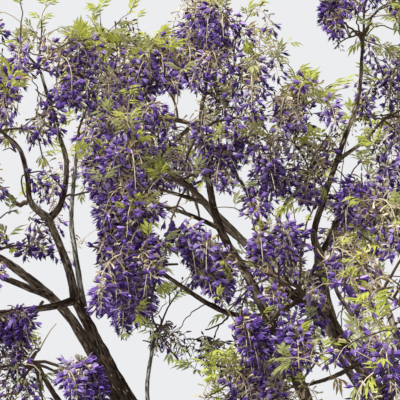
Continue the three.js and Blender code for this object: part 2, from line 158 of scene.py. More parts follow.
LIMBS = (
    Limb("west", "trunk", 0.9, (56, 15), ((-520, -30, 1850), (-1015, -100, 2575)), (-1164, -200, 2836)),
    Limb("middle", "trunk", 0.97, (40, 9),
         ((-190, 0, 1680), (-485, -20, 2585), (-585, -60, 2800), (-650, -80, 2940), (-740, -110, 3095)),
         (-790, -140, 3340)),
    Limb("east", "trunk", 0.93, (48, 14),
         ((-130, 10, 1735), (-245, 20, 2575), (-345, 30, 2745), (-400, 35, 2860)), (-425, 50, 3060)),
    Limb("south_east", "trunk", 0.8, (48, 11),
         ((260, -90, 1560), (560, -150, 2150), (800, -130, 2480)), (920, -110, 2700)),
    Limb("north", "trunk", 0.86, (46, 11),
         ((60, 240, 1640), (40, 560, 2350), (-60, 800, 2880)), (-110, 900, 3160)),
    Limb("west_upper", "west", 1, (13, 10.5), ((-1185, -235, 2920),), (-1240, -300, 3050)),
    Limb("west_crook", "west_upper", 1, (10, 5.5),
         ((-1290, -340, 3085), (-1300, -360, 3150), (-1325, -385, 3235)), (-1365, -420, 3265)),
    Limb("west_leader", "west_upper", 1, (9.5, 4.5),
         ((-1210, -300, 3090), (-1195, -295, 3225), (-1230, -280, 3350)), (-1285, -265, 3540)),
    Limb("west_long", "west", 0.34, (30, 11),
         ((-745, -10, 2115), (-1055, 10, 2600), (-1130, -15, 2735), (-1210, -60, 2850),
          (-1340, -120, 2950)), (-1460, -160, 3020)),
    Limb("west_long_low", "west_long", 0.86, (11, 8), ((-1305, -140, 2890),), (-1435, -220, 2925)),
    Limb("west_level", "west", 1, (11, 7), ((-1220, -250, 2800), (-1290, -320, 2765)),
         (-1395, -420, 2720)),
    Limb("west_pale", "west", 0.97, (10, 5),
         ((-1155, -170, 2895), (-1175, -150, 3010), (-1190, -130, 3105)), (-1185, -75, 3380)),
    Limb("west_low", "west", 0.25, (20, 7),
         ((-620, -160, 1820), (-970, -270, 2270), (-1190, -330, 2500)), (-1250, -365, 2590)),
    Limb("pale_twig", "west", 0.4, (11, 6), ((-870, 60, 2280), (-960, 100, 2615)), (-945, 150, 2820)),
    Limb("middle_low", "middle", 0.78, (9, 6), ((-670, -120, 2810), (-750, -180, 2815)),
         (-905, -300, 2880)),
    Limb("middle_thin", "middle", 0.9, (7, 5), ((-835, -170, 3115),), (-945, -260, 3120)),
    Limb("inner", "east", 0.91, (17, 8),
         ((-510, 45, 2930), (-575, 40, 2995), (-660, 35, 3100), (-735, 25, 3165), (-800, 50, 3260)),
         (-900, 130, 3390)),
    Limb("inner_side", "inner", 0.72, (7, 5), ((-885, 50, 3275),), (-955, 20, 3285)),
    Limb("pale_fork", "inner", 0.32, (7, 4), ((-560, 10, 3145), (-530, -10, 3220)), (-480, -40, 3260)),
    Limb("near", "middle", 0.775, (10, 7), ((-545, -120, 2835),), (-500, -200, 2840)),
    Limb("low_right", "east", 0.83, (8, 5), ((-405, -90, 2635),), (-490, -200, 2580)),
    Limb("east_slender", "east", 0.3, (14, 5),
         ((-165, -50, 2230), (-270, -10, 2715), (-335, -30, 2835), (-390, -55, 2930),
          (-370, -75, 3010)), (-290, -110, 3110)),
    Limb("east_leader", "east", 1, (12, 5.5),
         ((-440, 60, 3135), (-405, 80, 3265), (-330, 90, 3480), (-280, 85, 3625)), (-260, 60, 3810)),
    Limb("east_fork", "east_leader", 0.46, (8, 5), ((-250, 180, 3520),), (-200, 240, 3600)),
    Limb("east_spur", "east", 1, (10, 6), ((-385, 90, 3145),), (-345, 140, 3235)),
    Limb("right_front", "south_east", 0.52, (24, 9), ((560, -380, 2180),), (600, -560, 2560)),
    Limb("right_back", "south_east", 0.3, (27, 9), ((470, 230, 2020), (600, 480, 2450)),
         (660, 600, 2800)),
    Limb("right_high", "east", 0.5, (22, 9), ((60, 60, 2480), (270, 100, 2990)), (350, 110, 3390)),
    Limb("back_left", "north", 0.62, (18, 8),
         ((-290, 600, 2840), (-390, 620, 3060), (-500, 630, 3160), (-640, 640, 3330)), (-790, 655, 3500)),
    Limb("front_low", "south_east", 0.2, (20, 8), ((130, -420, 1980),), (60, -640, 2370)),
    Limb("top", "right_high", 0.3, (13, 8), ((60, 250, 2950), (120, 370, 3350)), (40, 410, 3740)),
)
BRANCHLETS = (
    Branchlet((6, 4), ((-780, -40, 3200), (-800, -40, 3230), (-845, -40, 3265),
        (-890, -40, 3295), (-915, -40, 3335), (-920, -20, 3400))),
    Branchlet((5, 3), ((-800, -60, 3305), (-840, -60, 3285), (-875, -60, 3275),
        (-930, -60, 3285), (-975, -40, 3305))),
    Branchlet((8, 5), ((-1300, -340, 3085), (-1325, -345, 3080), (-1355, -350, 3105),
        (-1400, -365, 3145))),
    Branchlet((3, 2), ((-1305, -345, 3100), (-1320, -350, 3145), (-1315, -350, 3165),
        (-1290, -350, 3175), (-1250, -350, 3175)), clusters=4),
    Branchlet((4, 3), ((-1195, -300, 3120), (-1145, -300, 3130), (-1105, -300, 3142))),
    Branchlet((3, 2), ((-1225, -235, 3040), (-1260, -235, 3060), (-1305, -240, 3080)),
        clusters=4),
    Branchlet((3, 2), ((-1262, -270, 3455), (-1300, -270, 3485))),
    Branchlet((3, 2), ((-1262, -270, 3455), (-1240, -270, 3480))),
    Branchlet((5, 3), ((-1265, -140, 2850), (-1290, -150, 2800), (-1310, -160, 2765))),
    Branchlet((3, 2), ((-945, 160, 2810), (-980, 160, 2820))),
    Branchlet((8, 5), ((-605, 20, 3145), (-635, 20, 3230), (-670, 20, 3300),
        (-700, 20, 3355))),
    Branchlet((5, 3), ((-780, -150, 3275), (-750, -160, 3320), (-710, -170, 3325)),
        clusters=7),
    Branchlet((3, 2), ((-835, -300, 3065), (-860, -310, 3085), (-885, -320, 3075)),
        clusters=4),
    Branchlet((5, 3), ((-905, -300, 2880), (-905, -300, 2930), (-890, -300, 2975),
        (-870, -310, 3020)), clusters=5),
    Branchlet((4, 2), ((-905, -300, 2880), (-950, -300, 2875), (-985, -310, 2900))),
    Branchlet((3, 2), ((-715, -150, 2805), (-735, -160, 2775), (-750, -170, 2765),
        (-785, -180, 2750))),
    Branchlet((3, 2), ((-745, -170, 2767), (-760, -180, 2725))),
    Branchlet((4, 3), ((-262, 60, 3820), (-270, 60, 3840), (-320, 60, 3895))),
    Branchlet((3, 2), ((-265, 60, 3835), (-275, 60, 3905), (-262, 60, 3990))),
    Branchlet((4, 3), ((-262, 60, 3820), (-215, 60, 3930), (-140, 60, 3985))),
    Branchlet((3, 2), ((-258, 60, 3830), (-215, 60, 3880), (-180, 60, 3880),
        (-125, 60, 3860))),
    Branchlet((4, 3), ((-425, 50, 2990), (-405, -60, 2965), (-365, -90, 3010),
        (-315, -100, 3015), (-285, -110, 3040))),
    Branchlet((4, 3), ((-420, 40, 2900), (-405, -60, 2935), (-360, -90, 2970))),
    Branchlet((3, 2), ((-375, -70, 3000), (-350, -110, 3060), (-285, -130, 3110))),
    Branchlet((3, 2), ((-390, 0, 3110), (-360, -20, 3075), (-320, -30, 3060),
        (-265, -50, 3030))),
    Branchlet((4, 3), ((-340, -35, 2840), (-285, -90, 2865), (-250, -120, 2868),
        (-190, -130, 2830))),
    Branchlet((5, 3), ((-490, -200, 2580), (-605, -200, 2572), (-685, -260, 2600),
        (-765, -300, 2612))),
    Branchlet((3, 2), ((-675, -240, 2590), (-710, -260, 2567), (-785, -280, 2520))),
    Branchlet((4, 2), ((-1105, -250, 2630), (-1125, -260, 2575), (-1140, -280, 2500))),
)
PALE_LIMBS = ("west_pale", "pale_twig", "pale_fork")

# The stretches of limbs, as shares of their lengths, that nothing hangs in front of.
BARE_STRETCHES = (
    ("west", 0.6, 1.0), ("west_upper", 0.0, 1.0), ("west_crook", 0.0, 1.0), ("west_leader", 0.0, 0.4),
    ("west_long", 0.6, 1.0), ("west_level", 0.0, 1.0), ("west_pale", 0.0, 0.5), ("west_low", 0.9, 1.0),
    ("middle", 0.64, 0.7), ("middle", 0.76, 0.97), ("middle_low", 0.1, 1.0), ("near", 0.0, 0.8),
    ("inner", 0.12, 0.3), ("inner", 0.48, 0.95), ("pale_fork", 0.35, 0.8), ("low_right", 0.0, 1.0),
    ("east", 0.78, 0.93), ("east_leader", 0.02, 0.3), ("east_leader", 0.4, 1.0), ("east_spur", 0.0, 0.8),
)

MASSES = (
    Mass("west_crook", (-1390, -470, 3290), (210, 190, 160), 6, fine=34),
    Mass("west_leader", (-1345, -300, 3610), (240, 230, 150), 7, fine=40),
    Mass("west_long", (-1640, -160, 3130), (230, 260, 260), 7, fine=28, bunches=3.6, bloom=0.22),
    Mass("west_long_low", (-1430, -330, 3010), (180, 190, 140), 6, fine=20),
    Mass("west_level", (-1410, -480, 2690), (190, 230, 165), 6, fine=34, bare=0.5, buds=2),
    Mass("west_pale", (-1093, -60, 3710), (155, 200, 180), 6, fine=30),
    Mass("west_low", (-1270, -430, 2560), (250, 200, 130), 6, fine=24, bare=0.2, buds=3),
    Mass("pale_twig", (-915, 200, 2900), (140, 160, 130), 7, fine=18, bunches=2.8, buds=14),
    Mass("middle", (-780, -170, 3600), (240, 230, 335), 9, fine=38, bunches=4.6),
    Mass("middle_low", (-1000, -360, 2900), (140, 190, 190), 7, fine=30),
    Mass("middle_thin", (-1015, -330, 3200), (110, 190, 200), 7, fine=26),
    Mass("inner", (-990, 300, 3720), (280, 290, 295), 8, fine=34, bunches=4),
    Mass("inner_side", (-1015, 30, 3270), (105, 190, 200), 6),
    Mass("pale_fork", (-515, -90, 3450), (225, 210, 270), 8, fine=38, bunches=4.2, green=1.3),
    Mass("near", (-620, -190, 2945), (290, 270, 215), 8, fine=60, bunches=4.4),
    Mass("low_right", (-610, -290, 2610), (280, 220, 170), 8, fine=44, bunches=4.6),
    Mass("east_slender", (-220, -220, 3150), (190, 220, 240), 7, fine=22),
    Mass("east_leader", (-250, 20, 3980), (260, 250, 220), 7, fine=28),
    Mass("east_fork", (-80, 330, 3720), (220, 250, 210), 6, fine=28),
    Mass("east_spur", (-340, 220, 3330), (190, 190, 160), 6, fine=26),
    Mass("south_east", (1120, -120, 2990), (430, 440, 430), 10, fine=38, bunches=3.8, bloom=0.22),
    Mass("right_front", (680, -780, 2880), (430, 420, 420), 10, fine=38, bunches=3.8, bloom=0.22),
    Mass("right_back", (780, 720, 3120), (450, 440, 440), 10, fine=36, bunches=3.8, bloom=0.22),
    Mass("right_high", (440, 100, 3730), (430, 450, 430), 10, fine=32, bunches=3.6, bloom=0.22),
    Mass("north", (-160, 1050, 3500), (450, 430, 440), 10, fine=36, bunches=3.8, bloom=0.22),
    Mass("back_left", (-1020, 800, 3670), (430, 400, 360), 9, fine=38, bunches=3.2, bloom=0.22),
    Mass("front_low", (-210, -880, 2560), (400, 380, 370), 8, fine=42, bunches=3.6, green=1.6, bloom=0.22),
    Mass("top", (-110, 350, 4140), (430, 440, 310), 9, fine=28, bunches=3.2, bloom=0.22),
)

# Where clusters hang closest together.
BUNCHES = (
    Bunch((-1275, -330, 3400), 8), Bunch((-1235, -350, 3405), 6), Bunch((-1290, -345, 2980), 5),
    Bunch((-840, -360, 3010), 8), Bunch((-770, -350, 2880), 8), Bunch((-680, -420, 2700), 10),
    Bunch((-1075, -420, 2970), 8), Bunch((-995, -420, 2940), 8), Bunch((-610, -200, 3270), 10),
    Bunch((-1315, -560, 2700), 6), Bunch((-1170, -480, 2555), 8), Bunch((-320, -280, 3205), 6),
    Bunch((-940, -300, 3430), 7), Bunch((-300, -300, 2650), 8), Bunch((-260, -300, 2585), 8),
    Bunch((-335, -320, 2605), 6), Bunch((-835, 60, 3910), 6), Bunch((-805, 40, 3840), 5),
    Bunch((-485, -60, 3185), 6), Bunch((-865, -100, 2770), 7, closed=True),
    Bunch((-800, -140, 2740), 8, closed=True), Bunch((-900, -60, 2785), 4, closed=True),
)

# Gaps in the crown: narrow cones from one viewpoint, through spots (x, z, radius) at y = 0.
VIEWPOINT = np.array((-800.0, -4465.0, 1430.0))
SKY_GAPS = np.array((
    (-1420, 3930, 40), (-1330, 3930, 20), (-1290, 3860, 30), (-1240, 3910, 35),
    (-1190, 3830, 15), (-1090, 3890, 35), (-970, 3860, 20), (-480, 3900, 70), (-410, 3790, 40),
    (-380, 3700, 35), (-420, 3660, 20), (-350, 3640, 10), (-300, 3850, 20), (-300, 3790, 20),
    (-210, 3830, 25), (-160, 3850, 20), (-1430, 3770, 20), (-1330, 3630, 30), (-1320, 3590, 15),
    (-1280, 3650, 20), (-1380, 3530, 20), (-1210, 3510, 20), (-860, 3550, 35), (-890, 3560, 20),
    (-1370, 3430, 20), (-1410, 3370, 35), (-1330, 3370, 30), (-1280, 3400, 20), (-320, 3560, 20),
    (-420, 3480, 15), (-300, 3320, 25), (-360, 3290, 15), (-660, 3330, 10), (-710, 3220, 15),
    (-710, 3190, 20), (-690, 3160, 20), (-650, 3130, 10), (-550, 3220, 10), (-500, 3190, 15),
    (-410, 3170, 20), (-1200, 3270, 15), (-1160, 3250, 15), (-1150, 3200, 20), (-890, 3230, 20),
    (-830, 3200, 20), (-920, 3120, 20), (-950, 3140, 15), (-1400, 3150, 20), (-1380, 3100, 20),
    (-1190, 3160, 15), (-1130, 3110, 15), (-1150, 3070, 15), (-1150, 3020, 20),
    (-1390, 3020, 30), (-1280, 2990, 25), (-1240, 2950, 40), (-1380, 2920, 35), (-450, 3020, 15),
    (-880, 3030, 15), (-850, 2990, 15), (-920, 2930, 20), (-890, 2860, 25), (-850, 2830, 30),
    (-820, 2880, 45), (-750, 2820, 35), (-720, 2810, 15), (-390, 2910, 15), (-390, 2860, 20),
    (-370, 2820, 15), (-230, 2890, 30), (-190, 3000, 20), (-200, 2850, 20), (-1260, 2790, 30),
    (-1220, 2770, 40), (-1230, 2720, 20), (-1080, 2810, 20), (-1090, 2770, 20),
    (-1070, 2730, 35), (-980, 2780, 25), (-1000, 2670, 55), (-920, 2670, 35), (-850, 2650, 45),
    (-460, 2670, 20), (-400, 2620, 30),
), float)

# Where the crown blooms most and where young leaves stand thickest, as spots of the same kind.
BLOOM_SPOTS = np.array((
    (-1410, 3690, 50), (-640, 3620, 45), (-1380, 3540, 60), (-1300, 3540, 55), (-1250, 3580, 50),
    (-1130, 3540, 30),
    (-1170, 3450, 35), (-920, 3620, 55), (-920, 3520, 45), (-770, 3800, 55), (-710, 3720, 55),
    (-600, 3540, 45), (-670, 3400, 55), (-600, 3310, 55), (-560, 3260, 55), (-760, 3300, 40),
    (-1080, 3290, 60), (-1080, 3180, 55), (-1090, 3080, 55), (-1020, 3030, 35), (-1070, 2900, 55),
    (-990, 2880, 50), (-840, 3090, 50), (-830, 3310, 30), (-610, 3180, 45), (-750, 2950, 60),
    (-680, 2990, 45), (-600, 3060, 60), (-530, 3030, 45), (-330, 3200, 60), (-210, 3280, 55),
    (-190, 3650, 45), (-360, 3870, 45), (-1310, 3090, 35), (-1380, 2800, 70), (-680, 2780, 50),
    (-540, 2720, 55), (-460, 2810, 40), (-1210, 2630, 55), (-1140, 2630, 40), (-610, 2620, 40),
    (-240, 2640, 45), (-380, 2960, 35), (-1310, 3510, 50), (-830, 3120, 55), (-780, 3060, 35),
    (-740, 2960, 55), (-660, 2780, 50), (-460, 3180, 35),
), float)
LEAF_SPOTS = np.array((
    (-1410, 3800, 45), (-1330, 3830, 35), (-1250, 3800, 40), (-1170, 3780, 55), (-1170, 3900, 30),
    (-1090, 3810, 35), (-1010, 3780, 70), (-1010, 3900, 40), (-920, 3810, 30), (-710, 3900, 45),
    (-600, 3800, 35), (-510, 3720, 45), (-440, 3600, 60), (-440, 3700, 30), (-270, 3540, 35),
    (-170, 3890, 40), (-200, 3770, 45), (-280, 3720, 35), (-1410, 3620, 30), (-1240, 3540, 20),
    (-990, 3480, 30), (-280, 3100, 35), (-210, 3160, 45), (-610, 2860, 30), (-290, 2870, 40),
    (-230, 2820, 55), (-1290, 2810, 30), (-760, 2670, 60), (-700, 2690, 35), (-540, 2620, 35),
    (-850, 3500, 25), (-750, 3590, 30), (-290, 2620, 55), (-360, 2740, 35), (-300, 2760, 45),
    (-410, 2760, 30), (-970, 3920, 35), (-670, 3920, 45), (-1310, 2760, 30), (-850, 3800, 35),
    (-710, 3920, 45), (-910, 3790, 45), (-280, 2790, 45),
), float)


def unit(direction: np.ndarray) -> np.ndarray:
    """Returns the direction with a length of one."""
    return direction / max(np.linalg.norm(direction), SMALLEST)


def level(turn: float) -> np.ndarray:
    """Returns the level direction at a turn from +X towards +Y."""
    return np.array((math.cos(turn), math.sin(turn), 0.0))


class Path:
    """A smooth line that is read by the share of its length."""

    DIVISIONS = 24
    HEADING_STEP = 0.01

    def __init__(self, points: np.ndarray) -> None:
        """Keeps the line's points and how far along each lies."""
        self.points = np.asarray(points, float)
        steps = np.linalg.norm(np.diff(self.points, axis=0), axis=1)
        self.run = np.concatenate(([0.0], np.cumsum(steps)))

    @property
    def length(self) -> float:
        """The line's length."""
        return float(self.run[-1])

    @classmethod
    def through(cls, places: Sequence[Sequence[float]]) -> Path:
        """Draws a centripetal Catmull-Rom line through the places.

        Args:
            places: the places that the line passes, two or more.

        Returns:
            The line.
        """
        given = [np.array(place, float) for place in places]
        knots = [2 * given[0] - given[1], *given, 2 * given[-1] - given[-2]]
        line = []
        for first, start, end, last in zip(knots, knots[1:], knots[2:], knots[3:]):
            before, here, after = (
                np.linalg.norm(b - a) ** 0.5 for a, b in ((first, start), (start, end), (end, last))
            )
            leave = (start - first) / before - (end - first) / (before + here) + (end - start) / here
            arrive = (end - start) / here - (last - start) / (here + after) + (last - end) / after
            for k in range(cls.DIVISIONS):
                t = k / cls.DIVISIONS
                line.append(
                    (2 * t**3 - 3 * t**2 + 1) * start + (t**3 - 2 * t**2 + t) * leave * here
                    + (-2 * t**3 + 3 * t**2) * end + (t**3 - t**2) * arrive * here
                )
        line.append(given[-1])
        return cls(np.array(line))

    @classmethod
    def arch(cls, start: np.ndarray, bend: np.ndarray, end: np.ndarray) -> Path:
        """Draws a quadratic arch from start to end, pulled towards bend."""
        t = np.linspace(0, 1, cls.DIVISIONS // 2 + 1)[:, None]
        return cls((1 - t) ** 2 * start + 2 * t * (1 - t) * bend + t**2 * end)

    def at(self, share: float | np.ndarray) -> np.ndarray:
        """Returns the place, or places, at a share of the length."""
        want = np.asarray(share, float) * self.length
        return np.stack([np.interp(want, self.run, self.points[:, k]) for k in range(3)], axis=-1)

    def heading(self, share: float) -> np.ndarray:
        """Returns the direction in which the line runs at a share of the length."""
        before, after = max(0.0, share - self.HEADING_STEP), min(1.0, share + self.HEADING_STEP)
        return unit(self.at(after) - self.at(before))


@dataclass
class Trunk:
    """The trunk: a true taper with a slight lean, and a root flare in lobes."""

    top: Place = (-24, 0, 980)
    bend: Place = (16, -8, 500)
    foot_radius: float = 122
    fork_radius: float = 100
    shoulder: float = 0.93
    crown_radius: float = 62
    flare_reach: float = 62
    flare_height: float = 140
    flare_lobes: int = 5
    flare_lobe_depth: float = 0.45

    def path(self) -> Path:
        """Returns the line up the middle of the trunk."""
        return Path.through(((0, 0, 0), self.bend, self.top))

    def radius(self, share: float, turn: float, height: float) -> float:
        """Returns the radius at a share of the trunk, a turn round it and a height."""
        plain = self.foot_radius + (self.fork_radius - self.foot_radius) * min(share, self.shoulder)
        if share > self.shoulder:
            late = (share - self.shoulder) / (1 - self.shoulder)
            plain += (self.crown_radius - plain) * late**2
        lobe = 1 + self.flare_lobe_depth * math.cos(self.flare_lobes * turn)
        return plain + self.flare_reach * lobe * math.exp(-height / self.flare_height)


class Skeleton:
    """The lines of the trunk and of every limb, each from its parent."""

    def __init__(self, trunk: Trunk) -> None:
        """Draws every limb's line from the place where it leaves its parent."""
        self.trunk = trunk
        self.limbs = {limb.name: limb for limb in LIMBS}
        self.paths = {"trunk": trunk.path()}
        for limb in LIMBS:
            start = self.paths[limb.parent].at(limb.at)
            self.paths[limb.name] = Path.through((start, *limb.bends, limb.tip))


# Growth inside the masses, by the source's rule.


def halton(step: int, base: int) -> float:
    """Returns an evenly spread fraction: the same step always gives the same one."""
    result, share, rest = 0.0, 1 / base, step
    while rest > 0:
        result += share * (rest % base)
        share /= base
        rest //= base
    return result


@dataclass
class Shoot:
    """One twig of a mass: its line, its radius at both ends and how often it has branched.

    An own shoot is one that the source has as well.
    """

    mass: Mass
    path: Path
    girth: Pair
    order: int
    own: bool


@dataclass
class Growth:
    """Grows the twigs of the masses from their limbs' tips, and keeps the sky gaps open."""

    skeleton: Skeleton
    balance: float = 0.35
    seed_step: int = 17
    into_space: float = 0.7
    stem_steps: int = 3
    tip_radius: float = 1.1
    taper: float = 1.5
    order_shrink: float = 0.72
    arch: float = 0.13
    rise: float = 2.0
    spot_edge: float = 1.2
    spot_fade: float = 2.0

    def __post_init__(self) -> None:
        """Takes down the masses' spaces and the places along the bare stretches."""
        self.centres = np.array([mass.centre for mass in MASSES], float)
        self.spreads = np.array([mass.spread for mass in MASSES], float)
        self.bare = np.concatenate([
            self.skeleton.paths[name].at(np.linspace(first, last, Path.DIVISIONS))
            for name, first, last in BARE_STRETCHES
        ])

    def place_in_space(self, mass: Mass, step: int) -> np.ndarray:
        """Returns the evenly spread place in the mass's space that belongs to the step."""
        up = 2 * halton(step, 3) - 1
        ball = level(2 * math.pi * halton(step, 5)) * math.sqrt(1 - up * up)
        ball[2] = up
        return ball * halton(step, 2) ** (1 / 3) * np.array(mass.spread) + np.array(mass.centre)

    def is_own(self, index: int, point: np.ndarray) -> bool:
        """Tells whether the point lies nearer to this mass than to any other."""
        depths = np.linalg.norm((point - self.centres) / self.spreads, axis=1)
        return int(np.argmin(depths)) == index

    @staticmethod
    def seen(points: np.ndarray) -> np.ndarray:
        """Returns where points are seen from the viewpoint, as (x, z) at y = 0."""
        along = np.atleast_2d(points) - VIEWPOINT
        return (along * (-VIEWPOINT[1] / along[:, 1])[:, None] + VIEWPOINT)[:, (0, 2)]

    def nearness(self, spots: np.ndarray, place: np.ndarray) -> float:
        """Returns 1 for a place seen well inside one of the spots, falling to 0 outside them all."""
        away = np.linalg.norm(self.seen(place)[0] - spots[:, :2], axis=1) / spots[:, 2]
        return float(np.clip(self.spot_fade * (self.spot_edge - away), 0, 1).max())

    def in_sky_gap(self, points: np.ndarray, half_width: float) -> bool:
        """Tells whether any of the points, with room round it, is in a gap of the crown."""
        away = np.linalg.norm(self.seen(points)[:, None] - SKY_GAPS[None, :, :2], axis=2)
        return bool((away < SKY_GAPS[None, :, 2] + half_width).any())

    def hides_limb(self, points: np.ndarray, half_width: float) -> bool:
        """Tells whether any of the points, with room round it, hangs in front of a bare stretch."""
        away = np.linalg.norm(self.seen(points)[:, None] - self.seen(self.bare)[None], axis=2)
        nearer = np.atleast_2d(points)[:, None, 1] < self.bare[None, :, 1]
        return bool(((away < half_width) & nearer).any())

    def radius(self, mass: Mass, way: float, order: int) -> float:
        """Returns a twig's radius at its way from the stem's foot."""
        stem_radius = self.skeleton.limbs[mass.limb].girth[1]
        left = max(0.0, 1 - way / (2 * max(mass.spread)))
        more = (stem_radius - self.tip_radius) * left**self.taper * self.order_shrink**order
        return self.tip_radius + more

    def stem(self, mass: Mass) -> Path:
        """Returns the line of the stem that carries the mass on from its limb's tip."""
        tip = np.array(self.skeleton.limbs[mass.limb].tip, float)
        heading = self.skeleton.paths[mass.limb].heading(1)
        end = tip + (np.array(mass.centre) - tip) * self.into_space
        bend = tip + heading * np.linalg.norm(end - tip) / 2
        return Path.arch(tip, bend, end)

    def twig(self, start: np.ndarray, end: np.ndarray, step: int) -> Path:
        """Returns the arched line of a twig."""
        lift = level(step * GOLDEN_TURN)
        lift[2] = self.rise
        bend = (start + end) / 2 + lift * np.linalg.norm(end - start) * self.arch
        return Path.arch(start, bend, end)

    def grow(self, index: int) -> list[Shoot]:
        """Grows one mass.

        Args:
            index: the mass's place in the list of masses.

        Returns:
            Its stem and its shoots, the stem first.
        """
        mass = MASSES[index]
        stem = self.stem(mass)
        girth = (self.radius(mass, 0, 0), self.radius(mass, stem.length, 0))
        shoots = [Shoot(mass, stem, girth, 0, True)]
        shares = [(k + 1) / self.stem_steps for k in range(self.stem_steps)]
        places = [stem.at(share) for share in shares]
        ways = [share * stem.length for share in shares]
        orders = [0] * self.stem_steps
        for k in range(1, mass.shoots + mass.fine + 1):
            step = index * self.seed_step + k
            target = self.place_in_space(mass, step)
            cost = np.linalg.norm(np.array(places) - target, axis=1) + self.balance * np.array(ways)
            fork = int(np.argmin(cost))
            path = self.twig(places[fork], target, step)
            middle = path.at(0.5)
            if not (self.is_own(index, middle) and self.is_own(index, target)):
                continue
            if self.in_sky_gap(np.array((middle, target)), 0):
                continue
            order = orders[fork] + 1
            end_way = ways[fork] + path.length
            girth = (self.radius(mass, ways[fork], order), self.radius(mass, end_way, order))
            shoots.append(Shoot(mass, path, girth, order, k <= mass.shoots))
            places += [middle, target]
            ways += [ways[fork] + path.length / 2, end_way]
            orders += [order, order]
        return shoots


# Finishes.


class Nodes:
    """A tree of nodes that is put together step by step."""

    def __init__(self, tree: bpy.types.NodeTree) -> None:
        """Keeps the tree."""
        self.tree = tree

    def step(self, kind: str, inputs: dict[str | int, object], **settings: object) -> bpy.types.Node:
        """Adds a node.

        Args:
            kind: the node's type.
            inputs: what goes into each input, a socket or a plain value, by its name or its number.
            settings: the node's own settings.

        Returns:
            The node.
        """
        node = self.tree.nodes.new(kind)
        for key, value in settings.items():
            setattr(node, key, value)
        for key, value in inputs.items():
            if isinstance(value, Socket):
                self.tree.links.new(value, node.inputs[key])
            else:
                node.inputs[key].default_value = value
        return node

    def made(self, kind: str, inputs: dict[str | int, object], **settings: object) -> Socket:
        """Adds a node and returns its first output."""
        return self.step(kind, inputs, **settings).outputs[0]


@dataclass(frozen=True)
class Finish:
    """A plain matt finish: its name, its colour, and how much light it lets through."""

    name: str
    colour: Place
    roughness: float = 0.6
    through: float = 0.0
    shine: float = 0.3

    def surface(self, nodes: Nodes) -> Socket:
        """Returns the plain surface, thin where light passes through it."""
        colour = (*self.colour, 1)
        plain = nodes.made("ShaderNodeBsdfPrincipled", {
            "Base Color": colour, "Roughness": self.roughness, "Specular IOR Level": self.shine,
        })
        if self.through == 0:
            return plain
        thin = nodes.made("ShaderNodeBsdfTranslucent", {"Color": colour})
        return nodes.made("ShaderNodeMixShader", {"Fac": self.through, 1: plain, 2: thin})

    def build(self) -> bpy.types.Material:
        """Makes the material."""
        material = bpy.data.materials.new(self.name)
        material.use_nodes = True
        material.node_tree.nodes.clear()
        nodes = Nodes(material.node_tree)
        nodes.step("ShaderNodeOutputMaterial", {"Surface": self.surface(nodes)})
        return material


@dataclass(frozen=True)
class BarkFinish(Finish):
    """Bark with painted shade in the furrows that its mesh holds and in streaks along it, painted
    light that makes it paler with height, and specks of lichen.

    Each kind of noise has its size and its detail, and each blend the two edges of its share.
    """

    shine: float = 0.2
    ridge: Place = (0.15, 0.1, 0.068)
    # Painted light: between these heights the bark turns from the ridge colour to this paler one, lit high
    # in the crown and shaded low under it.
    painted_light_upper: Place = (0.52, 0.43, 0.31)
    painted_light_heights: Pair = (2600, 3500)
    # Painted shade: the colour of the furrows that the mesh carves and of the streaks along the bark.
    furrow: Place = (0.012, 0.007, 0.005)
    furrow_shade_edges: Pair = (0.05, 0.7)
    patches: Pair = (26, 4)
    patch_edges: Pair = (0.42, 0.62)
    streaks: Pair = (5, 2)
    streak_shade_edges: Pair = (0.34, 0.54)
    lichen: Place = (0.42, 0.36, 0.26)
    specks: Pair = (6, 3)
    speck_edges: Pair = (0.63, 0.68)
    grain: Pair = (3, 4)
    grain_strength: float = 0.9

    @staticmethod
    def noise(nodes: Nodes, kind: Pair) -> Socket:
        """Returns noise of one size and detail, drawn out along the limb."""
        size, detail = kind
        run = nodes.step("ShaderNodeAttribute", {}, attribute_name=BarkField.RUN).outputs["Vector"]
        scale = 1 / (size * MM)
        return nodes.made("ShaderNodeTexNoise", {"Vector": run, "Scale": scale, "Detail": detail})

    @staticmethod
    def blend(
        nodes: Nodes, share: Socket, low: Place | Socket, high: Place | Socket, edges: Pair
    ) -> Socket:
        """Blends two colours, each a socket or plain, as the share passes between its edges."""
        ramp = nodes.made(
            "ShaderNodeMapRange", {"Value": share, "From Min": edges[0], "From Max": edges[1]}
        )
        first, last = (end if isinstance(end, Socket) else (*end, 1) for end in (low, high))
        mix = nodes.step("ShaderNodeMix", {"Factor": ramp, "A": first, "B": last}, data_type="RGBA")
        return mix.outputs["Result"]

    def surface(self, nodes: Nodes) -> Socket:
        """Returns bark from its patches, painted light that makes it paler with height, painted shade
        in streaks and in the mesh's own furrows, lichen and a rough grain.

        Args:
            nodes: the material's tree.

        Returns:
            The socket of the surface.
        """
        furrow_shade_mask = nodes.step("ShaderNodeAttribute", {}, attribute_name=BarkField.ATTRIBUTE).outputs["Fac"]
        where = nodes.step("ShaderNodeTexCoord", {}).outputs["Object"]
        height = nodes.step("ShaderNodeSeparateXYZ", {"Vector": where}).outputs["Z"]
        patch, streak, speck, grain = (
            self.noise(nodes, kind) for kind in (self.patches, self.streaks, self.specks, self.grain)
        )
        # Painted light: the bark grows paler with height.
        heights = (self.painted_light_heights[0] * MM, self.painted_light_heights[1] * MM)
        colour = self.blend(nodes, height, self.ridge, self.painted_light_upper, heights)
        colour = self.blend(nodes, patch, self.colour, colour, self.patch_edges)
        # Painted shade in streaks along the bark, then in the furrows that the mesh carves.
        colour = self.blend(nodes, streak, self.furrow, colour, self.streak_shade_edges)
        colour = self.blend(nodes, furrow_shade_mask, self.furrow, colour, self.furrow_shade_edges)
        colour = self.blend(nodes, speck, colour, self.lichen, self.speck_edges)
        bump = nodes.made("ShaderNodeBump", {
            "Strength": self.grain_strength, "Distance": self.grain[0] * MM / 2, "Height": grain,
        })
        return nodes.made("ShaderNodeBsdfPrincipled", {
            "Base Color": colour, "Roughness": self.roughness, "Specular IOR Level": self.shine,
            "Normal": bump,
        })
